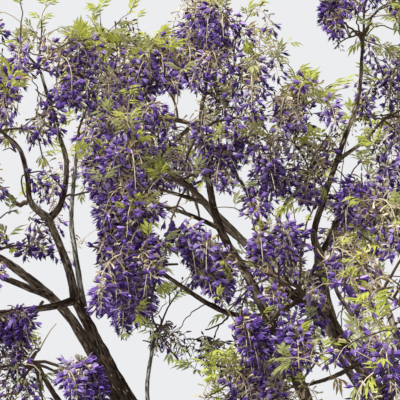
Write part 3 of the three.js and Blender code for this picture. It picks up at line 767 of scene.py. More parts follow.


# Each flower's banner gets a paler tint and its wings the matching darker one: painted light on the banner
# and painted shade on the wings, over the petals' violet.
LIT_BANNER_FINISHES = (
    Finish("pale", (0.76, 0.64, 0.94), through=0.3),
    Finish("lilac", (0.54, 0.36, 0.83), through=0.3),
    Finish("violet", (0.27, 0.125, 0.58), through=0.3),
)
SHADED_WING_FINISHES = (
    Finish("mauve", (0.41, 0.25, 0.75), through=0.25),
    Finish("purple", (0.22, 0.10, 0.50), through=0.25),
    Finish("deep", (0.07, 0.03, 0.20), through=0.15),
)
# The keels are nearly black: painted shade beneath each flower's banner.
SHADED_KEEL_FINISHES = (Finish("indigo", (0.028, 0.012, 0.075), 0.5),)
BUD_FINISHES = (Finish("dark", (0.022, 0.010, 0.038), 0.5),)
CALYX_FINISHES = (
    Finish("tan", (0.60, 0.50, 0.34), through=0.1),
    Finish("umber", (0.09, 0.05, 0.032)),
)
STALK_FINISH = Finish("stalk_straw", (0.72, 0.62, 0.42), through=0.1)
SPENT_FINISHES = (
    Finish("spent_cream", (0.85, 0.76, 0.56), through=0.2),
    Finish("spent_straw", (0.62, 0.52, 0.30), through=0.2),
    Finish("spent_russet", (0.15, 0.09, 0.055), through=0.1),
)
LEAF_FINISHES = (
    Finish("leaf_fresh", (0.60, 0.64, 0.12), 0.45, through=0.45),
    Finish("leaf_olive", (0.42, 0.45, 0.17), 0.45, through=0.4),
    Finish("leaf_straw", (0.55, 0.55, 0.24), 0.45, through=0.4),
    Finish("leaf_bronze", (0.42, 0.30, 0.10), 0.45, through=0.35),
)
LEAF_SHARES = (0.55, 0.3, 0.12, 0.03)
TWIG_FINISH = Finish("twig_brown", (0.11, 0.074, 0.048), 0.85)
YOUNG_TWIG_FINISH = Finish("twig_straw", (0.46, 0.37, 0.22), 0.8)
BARK_FINISH = BarkFinish("bark_brown", (0.055, 0.034, 0.022), 0.92)
# The pale limbs get the same painted shade in furrows and streaks, and the same painted light with height.
PALE_BARK_FINISH = BarkFinish(
    "bark_pale", (0.14, 0.13, 0.1), 0.92, ridge=(0.36, 0.34, 0.27), painted_light_upper=(0.4, 0.37, 0.29),
    furrow=(0.05, 0.045, 0.035), patches=(10, 4), lichen=(0.55, 0.54, 0.46), speck_edges=(0.54, 0.59),
)


# Meshes and Geometry Nodes.


def new_object(name: str, mesh: Mesh) -> Piece:
    """Links a new object with the mesh to the scene."""
    made = bpy.data.objects.new(name, mesh)
    bpy.context.scene.collection.objects.link(made)
    return made


def mesh_of(name: str, points: np.ndarray, faces: Sequence[Sequence[int]]) -> Mesh:
    """Makes a mesh from points in millimetres and faces."""
    mesh = bpy.data.meshes.new(name)
    mesh.from_pydata((np.asarray(points, float) * MM).tolist(), [], faces)
    mesh.update()
    return mesh


def give(mesh: Mesh, name: str, kind: str, values: np.ndarray) -> None:
    """Stores values on a mesh's points under a name."""
    layer = mesh.attributes.new(name, kind, "POINT")
    key = "vector" if kind == "FLOAT_VECTOR" else "value"
    layer.data.foreach_set(key, np.asarray(values, np.float32).ravel())


STORED = ("size", "girth", "turn", "tone")


class Recipe(Nodes):
    """A Geometry Nodes tree that is run on a mesh of paths or points."""

    def __init__(self, name: str, inputs: dict[str, str]) -> None:
        """Starts the tree.

        Args:
            name: the tree's name.
            inputs: the kind of each input by its name, besides the geometry and the material.
        """
        super().__init__(bpy.data.node_groups.new(name, "GeometryNodeTree"))
        for asked, kind in {"Geometry": "Geometry", **inputs, "Material": "Material"}.items():
            self.tree.interface.new_socket(asked, in_out="INPUT", socket_type=f"NodeSocket{kind}")
        self.tree.interface.new_socket("Geometry", in_out="OUTPUT", socket_type="NodeSocketGeometry")
        self.start = self.tree.nodes.new("NodeGroupInput")

    def given(self, name: str) -> Socket:
        """Returns the socket of a named input."""
        return self.start.outputs[name]

    def stored(self, name: str, kind: str = "FLOAT") -> Socket:
        """Returns the values stored on the points under a name."""
        node = self.step("GeometryNodeInputNamedAttribute", {"Name": name}, data_type=kind)
        return node.outputs["Attribute"]

    def combine(self, operation: str, first: Socket, second: Socket | float) -> Socket:
        """Returns two values added or multiplied."""
        return self.made("ShaderNodeMath", {0: first, 1: second}, operation=operation)

    def compare(self, operation: str, first: Socket, second: Socket) -> Socket:
        """Returns whether two values compare as asked."""
        return self.made("FunctionNodeCompare", {0: first, 1: second}, operation=operation)

    def turned(self, rotation: Socket, further: Socket) -> Socket:
        """Returns a rotation that is turned further about its own axes."""
        both = {"Rotation": rotation, "Rotate By": further}
        return self.made("FunctionNodeRotateRotation", both, rotation_space="LOCAL")

    def lines(self) -> Socket:
        """Returns the given paths as curves."""
        return self.made("GeometryNodeMeshToCurve", {"Mesh": self.given("Geometry")})

    def close(self, geometry: Socket) -> None:
        """Ends the tree: makes the copies real and gives them their material."""
        real = self.made("GeometryNodeRealizeInstances", {"Geometry": geometry})
        finish = {"Geometry": real, "Material": self.given("Material")}
        self.step("NodeGroupOutput", {"Geometry": self.made("GeometryNodeSetMaterial", finish)})

    def set_shape(self, spots: Socket, rotation: Socket, choice: dict[str, Socket]) -> None:
        """Sets the asked shape on spots, by the size stored on them, and ends the tree.

        Args:
            spots: the places.
            rotation: how the shape is turned on each.
            choice: which of the places get it, or nothing for all.
        """
        shape = self.step("GeometryNodeObjectInfo", {"Object": self.given("Shape")}).outputs["Geometry"]
        self.close(self.made("GeometryNodeInstanceOnPoints", {
            "Points": spots, "Instance": shape, "Rotation": rotation, "Scale": self.stored("size"),
            **choice,
        }))

    def run(self, name: str, source: Mesh, finish: Finish, inputs: dict[str, object]) -> Piece:
        """Runs the tree on a mesh.

        Args:
            name: the new piece's name.
            source: the mesh of paths or points.
            finish: the piece's finish.
            inputs: a value for each other named input.

        Returns:
            The piece, a plain mesh.
        """
        values = {**inputs, "Material": finish.build()}
        maker = new_object(name + "_maker", source)
        modifier = maker.modifiers.new("recipe", "NODES")
        modifier.node_group = self.tree
        for item in self.tree.interface.items_tree:
            if item.item_type == "SOCKET" and item.in_out == "INPUT" and item.name in values:
                modifier[item.identifier] = values[item.name]
        bpy.context.view_layer.update()
        graph = bpy.context.evaluated_depsgraph_get()
        mesh = bpy.data.meshes.new_from_object(maker.evaluated_get(graph), depsgraph=graph)
        mesh.name = name
        for layer in [a.name for a in mesh.attributes if a.name in STORED]:
            mesh.attributes.remove(mesh.attributes[layer])
        maker.modifiers.remove(modifier)
        bpy.data.objects.remove(maker)
        bpy.data.meshes.remove(source)
        return new_object(name, mesh)


def tube_recipe() -> Recipe:
    """Builds the tree that skins paths as tapering tubes, by the radius stored on their points."""
    recipe = Recipe("tubes_along_paths", {"Sides": "Int"})
    hoop = recipe.made(
        "GeometryNodeCurvePrimitiveCircle", {"Resolution": recipe.given("Sides"), "Radius": 1.0}
    )
    recipe.close(recipe.made("GeometryNodeCurveToMesh", {
        "Curve": recipe.lines(), "Profile Curve": hoop, "Scale": recipe.stored("girth"),
        "Fill Caps": True,
    }))
    return recipe


def row_recipe() -> Recipe:
    """Builds the tree that sets a shape along paths, each a golden turn further round.

    Each place gets one of the tints at random, near the tone stored on its path, and the tree
    sets the shape only where that is the tint it was asked for.
    """
    recipe = Recipe("shapes_along_paths", {
        "Shape": "Object", "Spacing": "Float", "Sway": "Float", "Tint": "Int", "Tints": "Int",
        "Seed": "Int",
    })
    seed, tint, sway = recipe.given("Seed"), recipe.given("Tint"), recipe.given("Sway")
    spots = recipe.step(
        "GeometryNodeCurveToPoints", {"Curve": recipe.lines(), "Length": recipe.given("Spacing")},
        mode="LENGTH",
    )
    turn = recipe.combine("MULTIPLY", recipe.made("GeometryNodeInputIndex", {}), GOLDEN_TURN)
    about = recipe.made("FunctionNodeAxisAngleToRotation", {"Axis": UP, "Angle": turn})
    swayed = recipe.made(
        "FunctionNodeRandomValue", {0: recipe.combine("MULTIPLY", sway, -1.0), 1: sway, "Seed": seed},
        data_type="FLOAT_VECTOR",
    )
    tilt = recipe.made("FunctionNodeEulerToRotation", {"Euler": swayed})
    rotation = recipe.turned(recipe.turned(spots.outputs["Rotation"], about), tilt)
    luck = recipe.step("FunctionNodeRandomValue", {2: 0.0, 3: 1.0, "Seed": seed}).outputs[1]
    tone = recipe.combine("ADD", recipe.stored("tone"), luck)
    dealt = recipe.combine("MULTIPLY", recipe.combine("MULTIPLY", tone, recipe.given("Tints")), 0.5)
    wanted = recipe.compare("GREATER_EQUAL", dealt, tint)
    below = recipe.compare("LESS_THAN", dealt, recipe.combine("ADD", tint, 1.0))
    chosen = recipe.made("FunctionNodeBooleanMath", {0: wanted, 1: below}, operation="AND")
    recipe.set_shape(spots.outputs["Points"], rotation, {"Selection": chosen})
    return recipe


def spot_recipe() -> Recipe:
    """Builds the tree that sets a shape on points, by the turn and the size stored on them."""
    recipe = Recipe("shapes_on_points", {"Shape": "Object"})
    spots = recipe.made("GeometryNodeMeshToPoints", {"Mesh": recipe.given("Geometry")})
    turn = recipe.made("FunctionNodeEulerToRotation", {"Euler": recipe.stored("turn", "FLOAT_VECTOR")})
    recipe.set_shape(spots, turn, {})
    return recipe


class Bundle:
    """Paths that are collected with values for each of their points."""

    def __init__(self) -> None:
        """Starts empty."""
        self.points: list[np.ndarray] = []
        self.values: list[dict[str, np.ndarray]] = []

    def add(self, points: np.ndarray, **values: np.ndarray) -> None:
        """Adds one path, with each of its values under the name by which a recipe reads it."""
        self.points.append(np.asarray(points, float))
        self.values.append(values)

    def mesh(self, name: str) -> Mesh:
        """Makes one mesh of all the paths, as points joined by edges."""
        edges = []
        first = 0
        for path in self.points:
            edges += [(k, k + 1) for k in range(first, first + len(path) - 1)]
            first += len(path)
        mesh = bpy.data.meshes.new(name)
        mesh.from_pydata((np.concatenate(self.points) * MM).tolist(), edges, [])
        for key in self.values[0]:
            give(mesh, key, "FLOAT", np.concatenate([values[key] for values in self.values]))
        return mesh


# The tree's own pieces.


class BarkField:
    """Furrows and ridges that run along a limb, from its own length and the way across it."""

    # The bark's height is stored under this name, and the bark's painted shade in its furrows is read from
    # it.
    ATTRIBUTE = "furrow"
    RUN = "bark_run"
    DRAWN_OUT = 0.2
    WARP_SCALE = (0.5, 0.5, 2.3)
    WARP = 0.9
    FINE_SCALE = (2.1, 2.1, 2.6)
    FINE_SHIFT = (0, 0, 7)
    RIDGE_HEIGHT = 2.6
    FINE_HEIGHT = 0.9

    def __init__(self, width: float, length: float, seed: float) -> None:
        """Keeps the furrows' width and length, and how far this limb's pattern is moved."""
        self.width = width
        self.length = length
        self.seed = seed

    def height(self, across: np.ndarray, along: float) -> float:
        """Returns how high the bark stands, from 0 in a furrow to 1 on a ridge."""
        place = np.array((*(across / self.width), along / self.length + self.seed))
        warp = noise.noise(Vector(place * self.WARP_SCALE)) * self.WARP
        ridge = abs(noise.noise(Vector(place + (warp, -warp, 0))))
        fine = abs(noise.noise(Vector(place * self.FINE_SCALE + self.FINE_SHIFT)))
        return min(1.0, self.RIDGE_HEIGHT * ridge + self.FINE_HEIGHT * fine)


@dataclass
class Wood:
    """The trunk and the boughs, skinned ring by ring with the bark's relief.

    Furrows have a width and a length, and knobs a size across and one along the limb, all as
    shares of the limb's radius.
    """

    skeleton: Skeleton
    face: float = 8.2
    face_girth: float = 0.8
    fewest_steps: int = 4
    sides: tuple[int, int] = (10, 96)
    aside: Place = (0.3, 1.0, 0.2)
    furrow: Pair = (0.22, 1.1)
    least_furrow: Pair = (5.0, 28.0)
    seed_step: float = 3.7
    run_step: float = 100
    relief: float = 0.075
    bark_level: float = 0.75
    knobs: float = 0.16
    knob_size: Pair = (1.4, 5)
    collar: float = 0.4
    collar_run: float = 2.2
    fork_collar: float = 0.6
    fork_run: float = 4.5

    def rings(self, name: str) -> tuple[list[np.ndarray], list[np.ndarray], list[np.ndarray]]:
        """Skins one limb.

        Args:
            name: the limb, or the trunk.

        Returns:
            For each of its rings the points, how high the bark stands, and where its grain is read.
        """
        path = self.skeleton.paths[name]
        limb = self.skeleton.limbs.get(name)
        seed = self.seed_step * (list(self.skeleton.paths).index(name) + 1)
        thick = self.skeleton.trunk.foot_radius if limb is None else limb.girth[0]
        width, length = (max(least, thick * size) for least, size in zip(self.least_furrow, self.furrow))
        furrows = BarkField(width, length, seed)
        count = max(self.fewest_steps, round(path.length / self.face))
        sides = int(np.clip(round(2 * math.pi * thick * self.face_girth / self.face), *self.sides))
        across = unit(np.cross(path.heading(0), self.aside))
        rings, heights, runs = [], [], []
        for k in range(count + 1):
            share = k / count
            way = share * path.length
            centre, forward = path.at(share), path.heading(share)
            if limb is None:
                centre[2], forward = share * self.skeleton.trunk.top[2], np.array(UP, float)
            across = unit(across - forward * float(across @ forward))
            along = np.cross(forward, across)
            ring, bark, run = [], [], []
            for side in range(sides):
                turn = 2 * math.pi * side / sides
                out = across * math.cos(turn) + along * math.sin(turn)
                radius = self.radius(limb, share, way, turn, centre[2])
                flat = np.array((math.cos(turn), math.sin(turn))) * radius
                height = furrows.height(flat, way)
                lift = self.relief * (height - self.bark_level)
                if limb is not None:
                    lift += self.knobs * self.knob(flat, radius, way, seed)
                ring.append(centre + out * (radius + radius * lift))
                bark.append(height)
                run.append((*flat, way * BarkField.DRAWN_OUT + seed * self.run_step))
            rings.append(np.array(ring))
            heights.append(np.array(bark))
            runs.append(np.array(run))
        return rings, heights, runs

    def knob(self, flat: np.ndarray, radius: float, way: float, seed: float) -> float:
        """Returns how far a limb swells or narrows at a place on its bark."""
        across, along = self.knob_size
        return noise.noise(Vector((*(flat / (radius * across)), way / (radius * along) + seed)))

    def radius(self, limb: Limb | None, share: float, way: float, turn: float, height: float) -> float:
        """Returns the plain radius of the trunk or a limb, with a collar where a limb starts.

        Args:
            limb: the limb, or none for the trunk.
            share: the share of its length.
            way: how far along that is.
            turn: the turn round it.
            height: how high that is.

        Returns:
            The radius.
        """
        if limb is None:
            return self.skeleton.trunk.radius(share, turn, height)
        plain = limb.girth[0] + (limb.girth[1] - limb.girth[0]) * share
        collar, run = self.collar, self.collar_run
        if limb.parent == "trunk":
            collar, run = self.fork_collar, self.fork_run
        return plain * (1 + collar * math.exp(-way / (limb.girth[0] * run)))

    def skin(self, names: Iterable[str], label: str) -> Piece:
        """Skins limbs as one closed mesh each, joined in one piece.

        Args:
            names: the limbs.
            label: the piece's name.

        Returns:
            The piece.
        """
        points, faces, barks, runs = [], [], [], []
        first = 0
        for name in names:
            rings, heights, grain = self.rings(name)
            sides = len(rings[0])
            for low in range(first, first + (len(rings) - 1) * sides, sides):
                for side in range(sides):
                    after = (side + 1) % sides
                    faces.append((low + side, low + after, low + sides + after, low + sides + side))
            last = first + (len(rings) - 1) * sides
            faces.append(tuple(range(first + sides - 1, first - 1, -1)))
            faces.append(tuple(range(last, last + sides)))
            points += rings
            barks += heights
            runs += grain
            first = last + sides
        mesh = mesh_of(label, np.concatenate(points), faces)
        give(mesh, BarkField.ATTRIBUTE, "FLOAT", np.concatenate(barks))
        give(mesh, BarkField.RUN, "FLOAT_VECTOR", np.concatenate(runs) * MM)
        mesh.shade_smooth()
        return new_object(label, mesh)

    def build(self) -> list[Piece]:
        """Builds the brown wood and the pale limbs, dressed."""
        brown = [name for name in self.skeleton.paths if name not in PALE_LIMBS]
        pieces = []
        for label, names, finish, slot in (
            ("wood_brown", brown, BARK_FINISH, "bark"),
            ("wood_pale", PALE_LIMBS, PALE_BARK_FINISH, "pale_bark"),
        ):
            piece = self.skin(names, label)
            piece.data.materials.append(finish.build())
            nodes = ["trunk" if name == "trunk" else f"bough_{name}" for name in names]
            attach(piece, BODY)
            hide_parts(*nodes)
            pieces.append(piece)
        return pieces


class Stage(Enum):
    """How far a flower cluster has come."""

    FULL = "full"
    OPENING = "opening"
    BUDS = "buds"
    SPENT = "spent"


@dataclass(frozen=True)
class Opening:
    """Where along a cluster its flowers, buds and bare stalks start and end, and its length.

    Odds says how likely the stage is where nothing blooms, and how much more so in full bloom.
    """

    flowers: Pair
    buds: Pair
    spent: Pair
    length: Pair
    odds: Pair


STAGES = {
    Stage.FULL: Opening((0.1, 0.82), (0.84, 1.0), (0.0, 0.08), (110, 190), (0.03, 0.97)),
    Stage.OPENING: Opening((0.1, 0.55), (0.57, 1.0), (0.0, 0.08), (100, 180), (0.1, 0)),
    Stage.BUDS: Opening((0, 0), (0.2, 1.0), (0, 0), (80, 150), (0.16, -0.09)),
    Stage.SPENT: Opening((0.75, 0.95), (0, 0), (0.0, 0.73), (100, 180), (0.95, -0.72)),
}


class Shapes:
    """The small shapes that repeat. Each lies along +X from its axis, and +Z is down the cluster.

    A spindle's ring is its way out, its drop and its radius, and a radius of 0 is a point. A leaf
    has an end leaflet and pairs of leaflets, each at its way out and its drop, with its length.
    """

    SPINDLES = {
        "keels": ((13.5, 4, 0), (21, 13, 3.7), (32, 23, 0)),
        "cups": ((0, 0, 0), (10, 0, 1.4), (16, 3, 3.5)),
        "buds": ((0, 0, 0), (10, 1.5, 1), (18, 6.5, 3.8), (28, 14, 0)),
        "stalks": ((0, 0, 0), (13, 2, 1.8), (24, 7, 3.2)),
    }
    SPINDLE_SIDES = 3
    BANNER_MIDDLE = (25, 0, 3)
    BANNER_RIM = ((13, 0, 1), (22, 4.6, 3.6), (32, 4.3, 5.4), (35, 0, 7.4))
    WING_MIDDLE = (14.5, 1.5, 3)
    WING_RIM = ((23, 5, 7), (30, 4, 16), (22, 1.5, 13))
    RIB = ((0, 0, 1.0), (34, 2, 0))
    LEAFLET_PAIRS = ((14, 0, 33), (27, 1, 36))
    END_LEAFLET = (33, 2, 40)
    PAIR_TOWARD = (0.75, 0.55, 0.55)
    END_TOWARD = (0.8, 0.1, 0.6)
    LEAFLET_WIDTH = 0.14
    LEAFLET_WIDEST = 0.45
    LEAFLET_FOLD = 0.07

    @staticmethod
    def fan(middle: Place, rim: Iterable[Place]) -> Form:
        """Returns a petal: faces from its middle to its rim."""
        points = [middle, *rim]
        return points, [(0, k, k + 1) for k in range(1, len(points) - 1)]

    @classmethod
    def spindle(cls, rings: Sequence[Place]) -> Form:
        """Returns a spindle along +X.

        Args:
            rings: for each ring its way out, its drop and its radius.

        Returns:
            Its points and faces.
        """
        points: list[Place] = []
        faces: list[tuple[int, ...]] = []
        numbers = []
        for out, drop, radius in rings:
            count = cls.SPINDLE_SIDES if radius else 1
            numbers.append([len(points) + side % count for side in range(cls.SPINDLE_SIDES)])
            for side in range(count):
                turn = 2 * math.pi * side / cls.SPINDLE_SIDES
                points.append((out, radius * math.cos(turn), drop + radius * math.sin(turn)))
        for near, far in zip(numbers, numbers[1:]):
            for side in range(cls.SPINDLE_SIDES):
                after = (side + 1) % cls.SPINDLE_SIDES
                corners = (near[side], near[after], far[after], far[side])
                faces.append(tuple(dict.fromkeys(corners)))
        return points, faces

    @classmethod
    def leaflet(cls, root: Place, toward: Place, size: float) -> Form:
        """Returns one leaflet: a narrow blade folded along its middle.

        Args:
            root: where it starts.
            toward: the direction in which it lies.
            size: its length.

        Returns:
            Its points and faces.
        """
        ahead = unit(np.array(toward)) * size
        wide = unit(np.cross(ahead, UP)) * size * cls.LEAFLET_WIDTH
        base = np.array(root)
        widest = base + ahead * cls.LEAFLET_WIDEST + np.array((0, 0, -size * cls.LEAFLET_FOLD))
        points = [base, widest + wide, base + ahead, widest - wide]
        return [tuple(p) for p in points], [(0, 1, 2), (0, 2, 3)]

    @classmethod
    def forms(cls) -> dict[str, list[Form]]:
        """Returns what each shape is joined from, by its name."""
        forms = {name: [cls.spindle(rings)] for name, rings in cls.SPINDLES.items()}
        other = [(out, -side, drop) for out, side, drop in cls.BANNER_RIM[-2::-1]]
        forms["banners"] = [cls.fan(cls.BANNER_MIDDLE, [*cls.BANNER_RIM, *other])]
        out, aside, drop = cls.WING_MIDDLE
        forms["wings"] = [
            cls.fan((out, side * aside, drop), [(x, side * y, z) for x, y, z in cls.WING_RIM])
            for side in (-1, 1)
        ]
        forms["leaves"] = [cls.spindle(cls.RIB)]
        for out, drop, size in cls.LEAFLET_PAIRS:
            ahead, aside, down = cls.PAIR_TOWARD
            forms["leaves"] += [
                cls.leaflet((out, 0, drop), (ahead, side * aside, down), size) for side in (-1, 1)
            ]
        out, drop, size = cls.END_LEAFLET
        forms["leaves"].append(cls.leaflet((out, 0, drop), cls.END_TOWARD, size))
        return forms

    @classmethod
    def build(cls) -> dict[str, Piece]:
        """Makes each shape as a small object that isn't in the scene, for the recipes to copy."""
        shapes = {}
        for name, parts in cls.forms().items():
            points: list[Place] = []
            faces: list[tuple[int, ...]] = []
            for more_points, more_faces in parts:
                faces += [tuple(len(points) + k for k in face) for face in more_faces]
                points += more_points
            shapes[name] = bpy.data.objects.new(name, mesh_of(name, np.array(points), faces))
        return shapes


@dataclass
class Foliage:
    """Everything that grows in the masses: twigs, flower clusters and tufts of young leaves.

    A pair named for sizes, girths or a span holds its two ends. The chances of tufts and of
    clusters change with how leafy a place is, how much it blooms and how high it lies.
    """

    growth: Growth
    lowest: np.ndarray
    highest: np.ndarray
    seed: int = 6
    flower_spacing: float = 6.4
    bud_spacing: float = 7.0
    flower_sway: float = 0.35
    row_points: int = 6
    axis_step: float = 22
    fewest_steps: int = 4
    too_short: int = 3
    loose_points: int = 2
    axis_radius: float = 1.9
    axis_thinning: float = 0.6
    axis_sway: float = 0.04
    droop: float = 0.5
    cup_sizes: Pair = (1.2, 0.96)
    bud_sizes: Pair = (1.1, 0.62)
    leaf_counts: tuple[int, int] = (2, 6)
    leaf_spread: Pair = (0.5, 1.6)
    leaf_sizes: Pair = (0.6, 1.15)
    leaf_reach: float = 70
    tuft_heading: float = 0.6
    tuft_rise: Place = (0, 0, 0.5)
    tuft_aside: Place = (0.2, 1.0, 0.1)
    reach_room: float = 6
    cluster_room: float = 20
    leaf_room: float = 8
    bare_room: float = 24
    cluster_drop: Place = (0, 0, -70)
    branchlet_drop: Place = (0, 0, -35)
    leaf_drop: Place = (0, 0, -10)
    twig_step: float = 30
    twig_points: int = 3
    twig_crook: float = 2.2
    branchlet_step: float = 12
    branchlet_shares: Place = (0.5, 0.75, 1.0)
    branchlet_from: float = 0.6
    tuft_shares: Place = (1.0, 0.75, 0.5)
    tuft_chance: float = 0.24
    leafy_tufts: float = 1.8
    bloom_tufts: float = 0.6
    high_tufts: float = 0.3
    set_clusters: int = 4
    cluster_apart: float = 0.2
    cluster_span: Pair = (0.3, 1)
    cluster_chance: float = 0.53
    bloom_clusters: float = 0.34
    leafy_clusters: float = 0.14
    leafy_bloom: float = 0.6
    high_bare: float = 0.4
    cluster_heading: Place = (0.5, 0.8, 0.15)
    bunch_girth: Pair = (2.2, 1.4)
    bunch_from: float = 0.4
    lead_length: float = 100
    young_order: int = 3

    def __post_init__(self) -> None:
        """Starts the random numbers and the empty bundles."""
        self.random = np.random.default_rng(self.seed)
        self.twigs, self.young_twigs, self.axes = Bundle(), Bundle(), Bundle()
        self.flowers, self.buds, self.spent = Bundle(), Bundle(), Bundle()
        self.leaves: list[list[tuple[np.ndarray, np.ndarray, float]]] = [[] for _ in LEAF_FINISHES]

    def fits(self, points: np.ndarray, room: float) -> bool:
        """Tells whether points are within the tree's reach, and clear of sky gaps and bare limbs."""
        lowest, highest = self.lowest + self.reach_room, self.highest - self.reach_room
        within = (points > lowest).all() and (points < highest).all()
        hides = self.growth.in_sky_gap(points, room) or self.growth.hides_limb(points, self.bare_room)
        return bool(within) and not hides

    def around(self) -> np.ndarray:
        """Draws a level direction."""
        return level(self.random.uniform(0, math.tau))

    def hang(self, start: np.ndarray, heading: np.ndarray, stage: Stage) -> None:
        """Hangs one flower cluster, whose axis leaves along a heading and then droops.

        Args:
            start: where it leaves its twig.
            heading: the direction in which it leaves.
            stage: how far it has come.
        """
        opening = STAGES[stage]
        length = self.random.uniform(*opening.length)
        points = [start]
        direction = unit(heading)
        for _ in range(max(self.fewest_steps, round(length / self.axis_step))):
            sway = self.random.normal(0, self.axis_sway, 3)
            direction = unit(direction + np.array((0, 0, -self.droop)) + sway)
            points.append(points[-1] + direction * self.axis_step)
        lengths = range(len(points), self.too_short, -1)
        hanging = np.array(points)
        kept = next((n for n in lengths if self.fits(hanging[self.loose_points:n], self.cluster_room)), 0)
        if not kept:
            return
        path = Path(hanging[:kept])
        shares = np.linspace(0, 1, kept)
        self.axes.add(path.points, girth=self.axis_radius * (1 - self.axis_thinning * shares) * MM)
        tone = self.random.uniform()
        for bundle, part, sizes in (
            (self.flowers, opening.flowers, self.cup_sizes),
            (self.buds, opening.buds, self.bud_sizes),
            (self.spent, opening.spent, self.cup_sizes),
        ):
            if part[1] > part[0]:
                inner = path.at(np.linspace(*part, self.row_points))
                sizes = np.linspace(*sizes, self.row_points)
                bundle.add(inner, size=sizes, tone=np.full(self.row_points, tone))

    def tuft(self, tip: np.ndarray, heading: np.ndarray) -> None:
        """Sets a tuft of young leaves round a twig's tip.

        Args:
            tip: the twig's tip.
            heading: the direction in which the twig runs there.
        """
        tint = int(self.random.choice(len(LEAF_FINISHES), p=LEAF_SHARES))
        first = self.random.uniform(0, 2 * math.pi)
        upward = unit(heading * self.tuft_heading + np.array(self.tuft_rise))
        side = unit(np.cross(upward, self.tuft_aside))
        front = np.cross(upward, side)
        for k in range(int(self.random.integers(*self.leaf_counts))):
            turn = first + k * GOLDEN_TURN
            spread = self.random.uniform(*self.leaf_spread)
            out = unit(upward + spread * (side * math.cos(turn) + front * math.sin(turn)))
            size = self.random.uniform(*self.leaf_sizes)
            if self.fits((tip + out * self.leaf_reach * size)[None], self.leaf_room):
                self.leaves[tint].append((tip, self.euler(out), size))

    @staticmethod
    def euler(out: np.ndarray) -> np.ndarray:
        """Returns the turn that brings +X to a direction and keeps +Z as far down as it goes."""
        ahead = Vector(out)
        down = (NEARLY_DOWN - ahead * NEARLY_DOWN.dot(ahead)).normalized()
        return np.array(Matrix((ahead, down.cross(ahead), down)).transposed().to_euler())

    def add_twig(self, bundle: Bundle, path: Path, girth: Pair, step: float) -> None:
        """Adds one slightly crooked twig, with a point at about every step."""
        count = max(self.twig_points, round(path.length / step) + 1)
        shares = np.linspace(0, 1, count)
        points = path.at(shares)
        points[1:-1] += self.random.normal(0, self.twig_crook, (count - 2, 3))
        bundle.add(points, girth=np.interp(shares, (0, 1), girth) * MM)

    def nearness(self, place: np.ndarray, drop: Place) -> Pair:
        """Returns how leafy it is under a place, and how much it blooms there."""
        return tuple(self.growth.nearness(spots, place + drop) for spots in (LEAF_SPOTS, BLOOM_SPOTS))

    def dress_shoot(self, shoot: Shoot) -> None:
        """Adds a shoot's twig, its leaves and its clusters: leaves rather high, clusters rather low."""
        path, mass = shoot.path, shoot.mass
        bundle = self.twigs if shoot.order < self.young_order else self.young_twigs
        self.add_twig(bundle, path, shoot.girth, self.twig_step)
        if shoot.order == 0:
            return
        height = float(np.clip((path.points[-1][2] - mass.centre[2]) / mass.spread[2], -1, 1))
        for share in self.tuft_shares:
            leafy, bloom = self.nearness(path.at(share), self.leaf_drop)
            leaves = (self.tuft_chance + self.leafy_tufts * leafy) * (1 - self.bloom_tufts * bloom)
            if self.random.random() < mass.green * share * (leaves * (1 + self.high_tufts * height)):
                self.tuft(path.at(share), path.heading(share))
        if shoot.own:
            self.lead(path.at(1.0), mass)
        for k in range(int(self.random.poisson(mass.bunches))):
            share = 1 - self.cluster_apart * k
            if k >= self.set_clusters:
                share = self.random.uniform(*self.cluster_span)
            on, out, up = self.cluster_heading
            heading = path.heading(share) * on + self.around() * out + np.array((0, 0, up))
            leafy, bloom = self.nearness(path.at(share), self.cluster_drop)
            bloom = max(mass.bloom, bloom * (1 - self.leafy_bloom * leafy))
            chance = self.cluster_chance + self.bloom_clusters * bloom - self.leafy_clusters * leafy
            if self.random.random() < chance:
                stage = self.stage(bloom, mass.bare * (1 + self.high_bare * height), mass.buds)
                self.hang(path.at(share), heading, stage)

    def lead(self, tip: np.ndarray, mass: Mass) -> None:
        """Carries an own shoot on to the outer end of the leaf that the source has on it."""
        outward = tip - np.array(mass.centre)
        outward = unit(outward * (1, 1, 0) + np.array(UP) * max(outward[2], 0))
        end = tip + outward * self.lead_length
        if self.fits(end[None], self.leaf_room):
            bend = (tip + end) / 2 + np.array((0, 0, self.lead_length * self.growth.arch))
            self.add_twig(self.young_twigs, Path.arch(tip, bend, end), self.bunch_girth, self.twig_step)
            self.tuft(end, outward)

    def stage(self, bloom: float = 1, bare: float = 1, buds: float = 1) -> Stage:
        """Draws how far a cluster has come: in full flower where the crown blooms most.

        Args:
            bloom: how much it blooms there, up to 1.
            bare: how many more of the clusters have dropped their flowers.
            buds: how many more of them are still closed.

        Returns:
            The stage.
        """
        more = {Stage.BUDS: buds, Stage.SPENT: bare}
        odds = np.array([
            more.get(stage, 1) * (opening.odds[0] + opening.odds[1] * bloom)
            for stage, opening in STAGES.items()
        ])
        return list(STAGES)[int(self.random.choice(len(odds), p=odds / odds.sum()))]

    def dress_branchlet(self, branchlet: Branchlet) -> None:
        """Adds a branchlet's twig, and leaves and clusters where such hang close by."""
        path = Path.through(branchlet.places)
        self.add_twig(self.twigs, path, branchlet.girth, self.branchlet_step)
        for share in self.branchlet_shares:
            place = path.at(share)
            if self.random.random() < self.growth.nearness(LEAF_SPOTS, place):
                self.tuft(place, path.heading(share))
            bloom = self.growth.nearness(BLOOM_SPOTS, place + self.branchlet_drop)
            if self.random.random() < bloom:
                self.hang(place, path.heading(share), self.stage(bloom))
        for share in np.linspace(self.branchlet_from, 1, branchlet.clusters):
            self.hang(path.at(share), self.around(), self.stage())

    def dress_bunch(self, bunch: Bunch, tips: list[np.ndarray]) -> None:
        """Hangs a bunch's clusters along a twig from the nearest shoot's tip to its place."""
        nearest = min(tips, key=lambda tip: np.linalg.norm(tip - bunch.place))
        path = self.growth.twig(nearest, np.array(bunch.place, float), bunch.clusters)
        self.add_twig(self.twigs, path, self.bunch_girth, self.branchlet_step)
        for share in np.linspace(self.bunch_from, 1, bunch.clusters):
            stage = Stage.BUDS if bunch.closed else self.stage()
            self.hang(path.at(share), self.around(), stage)

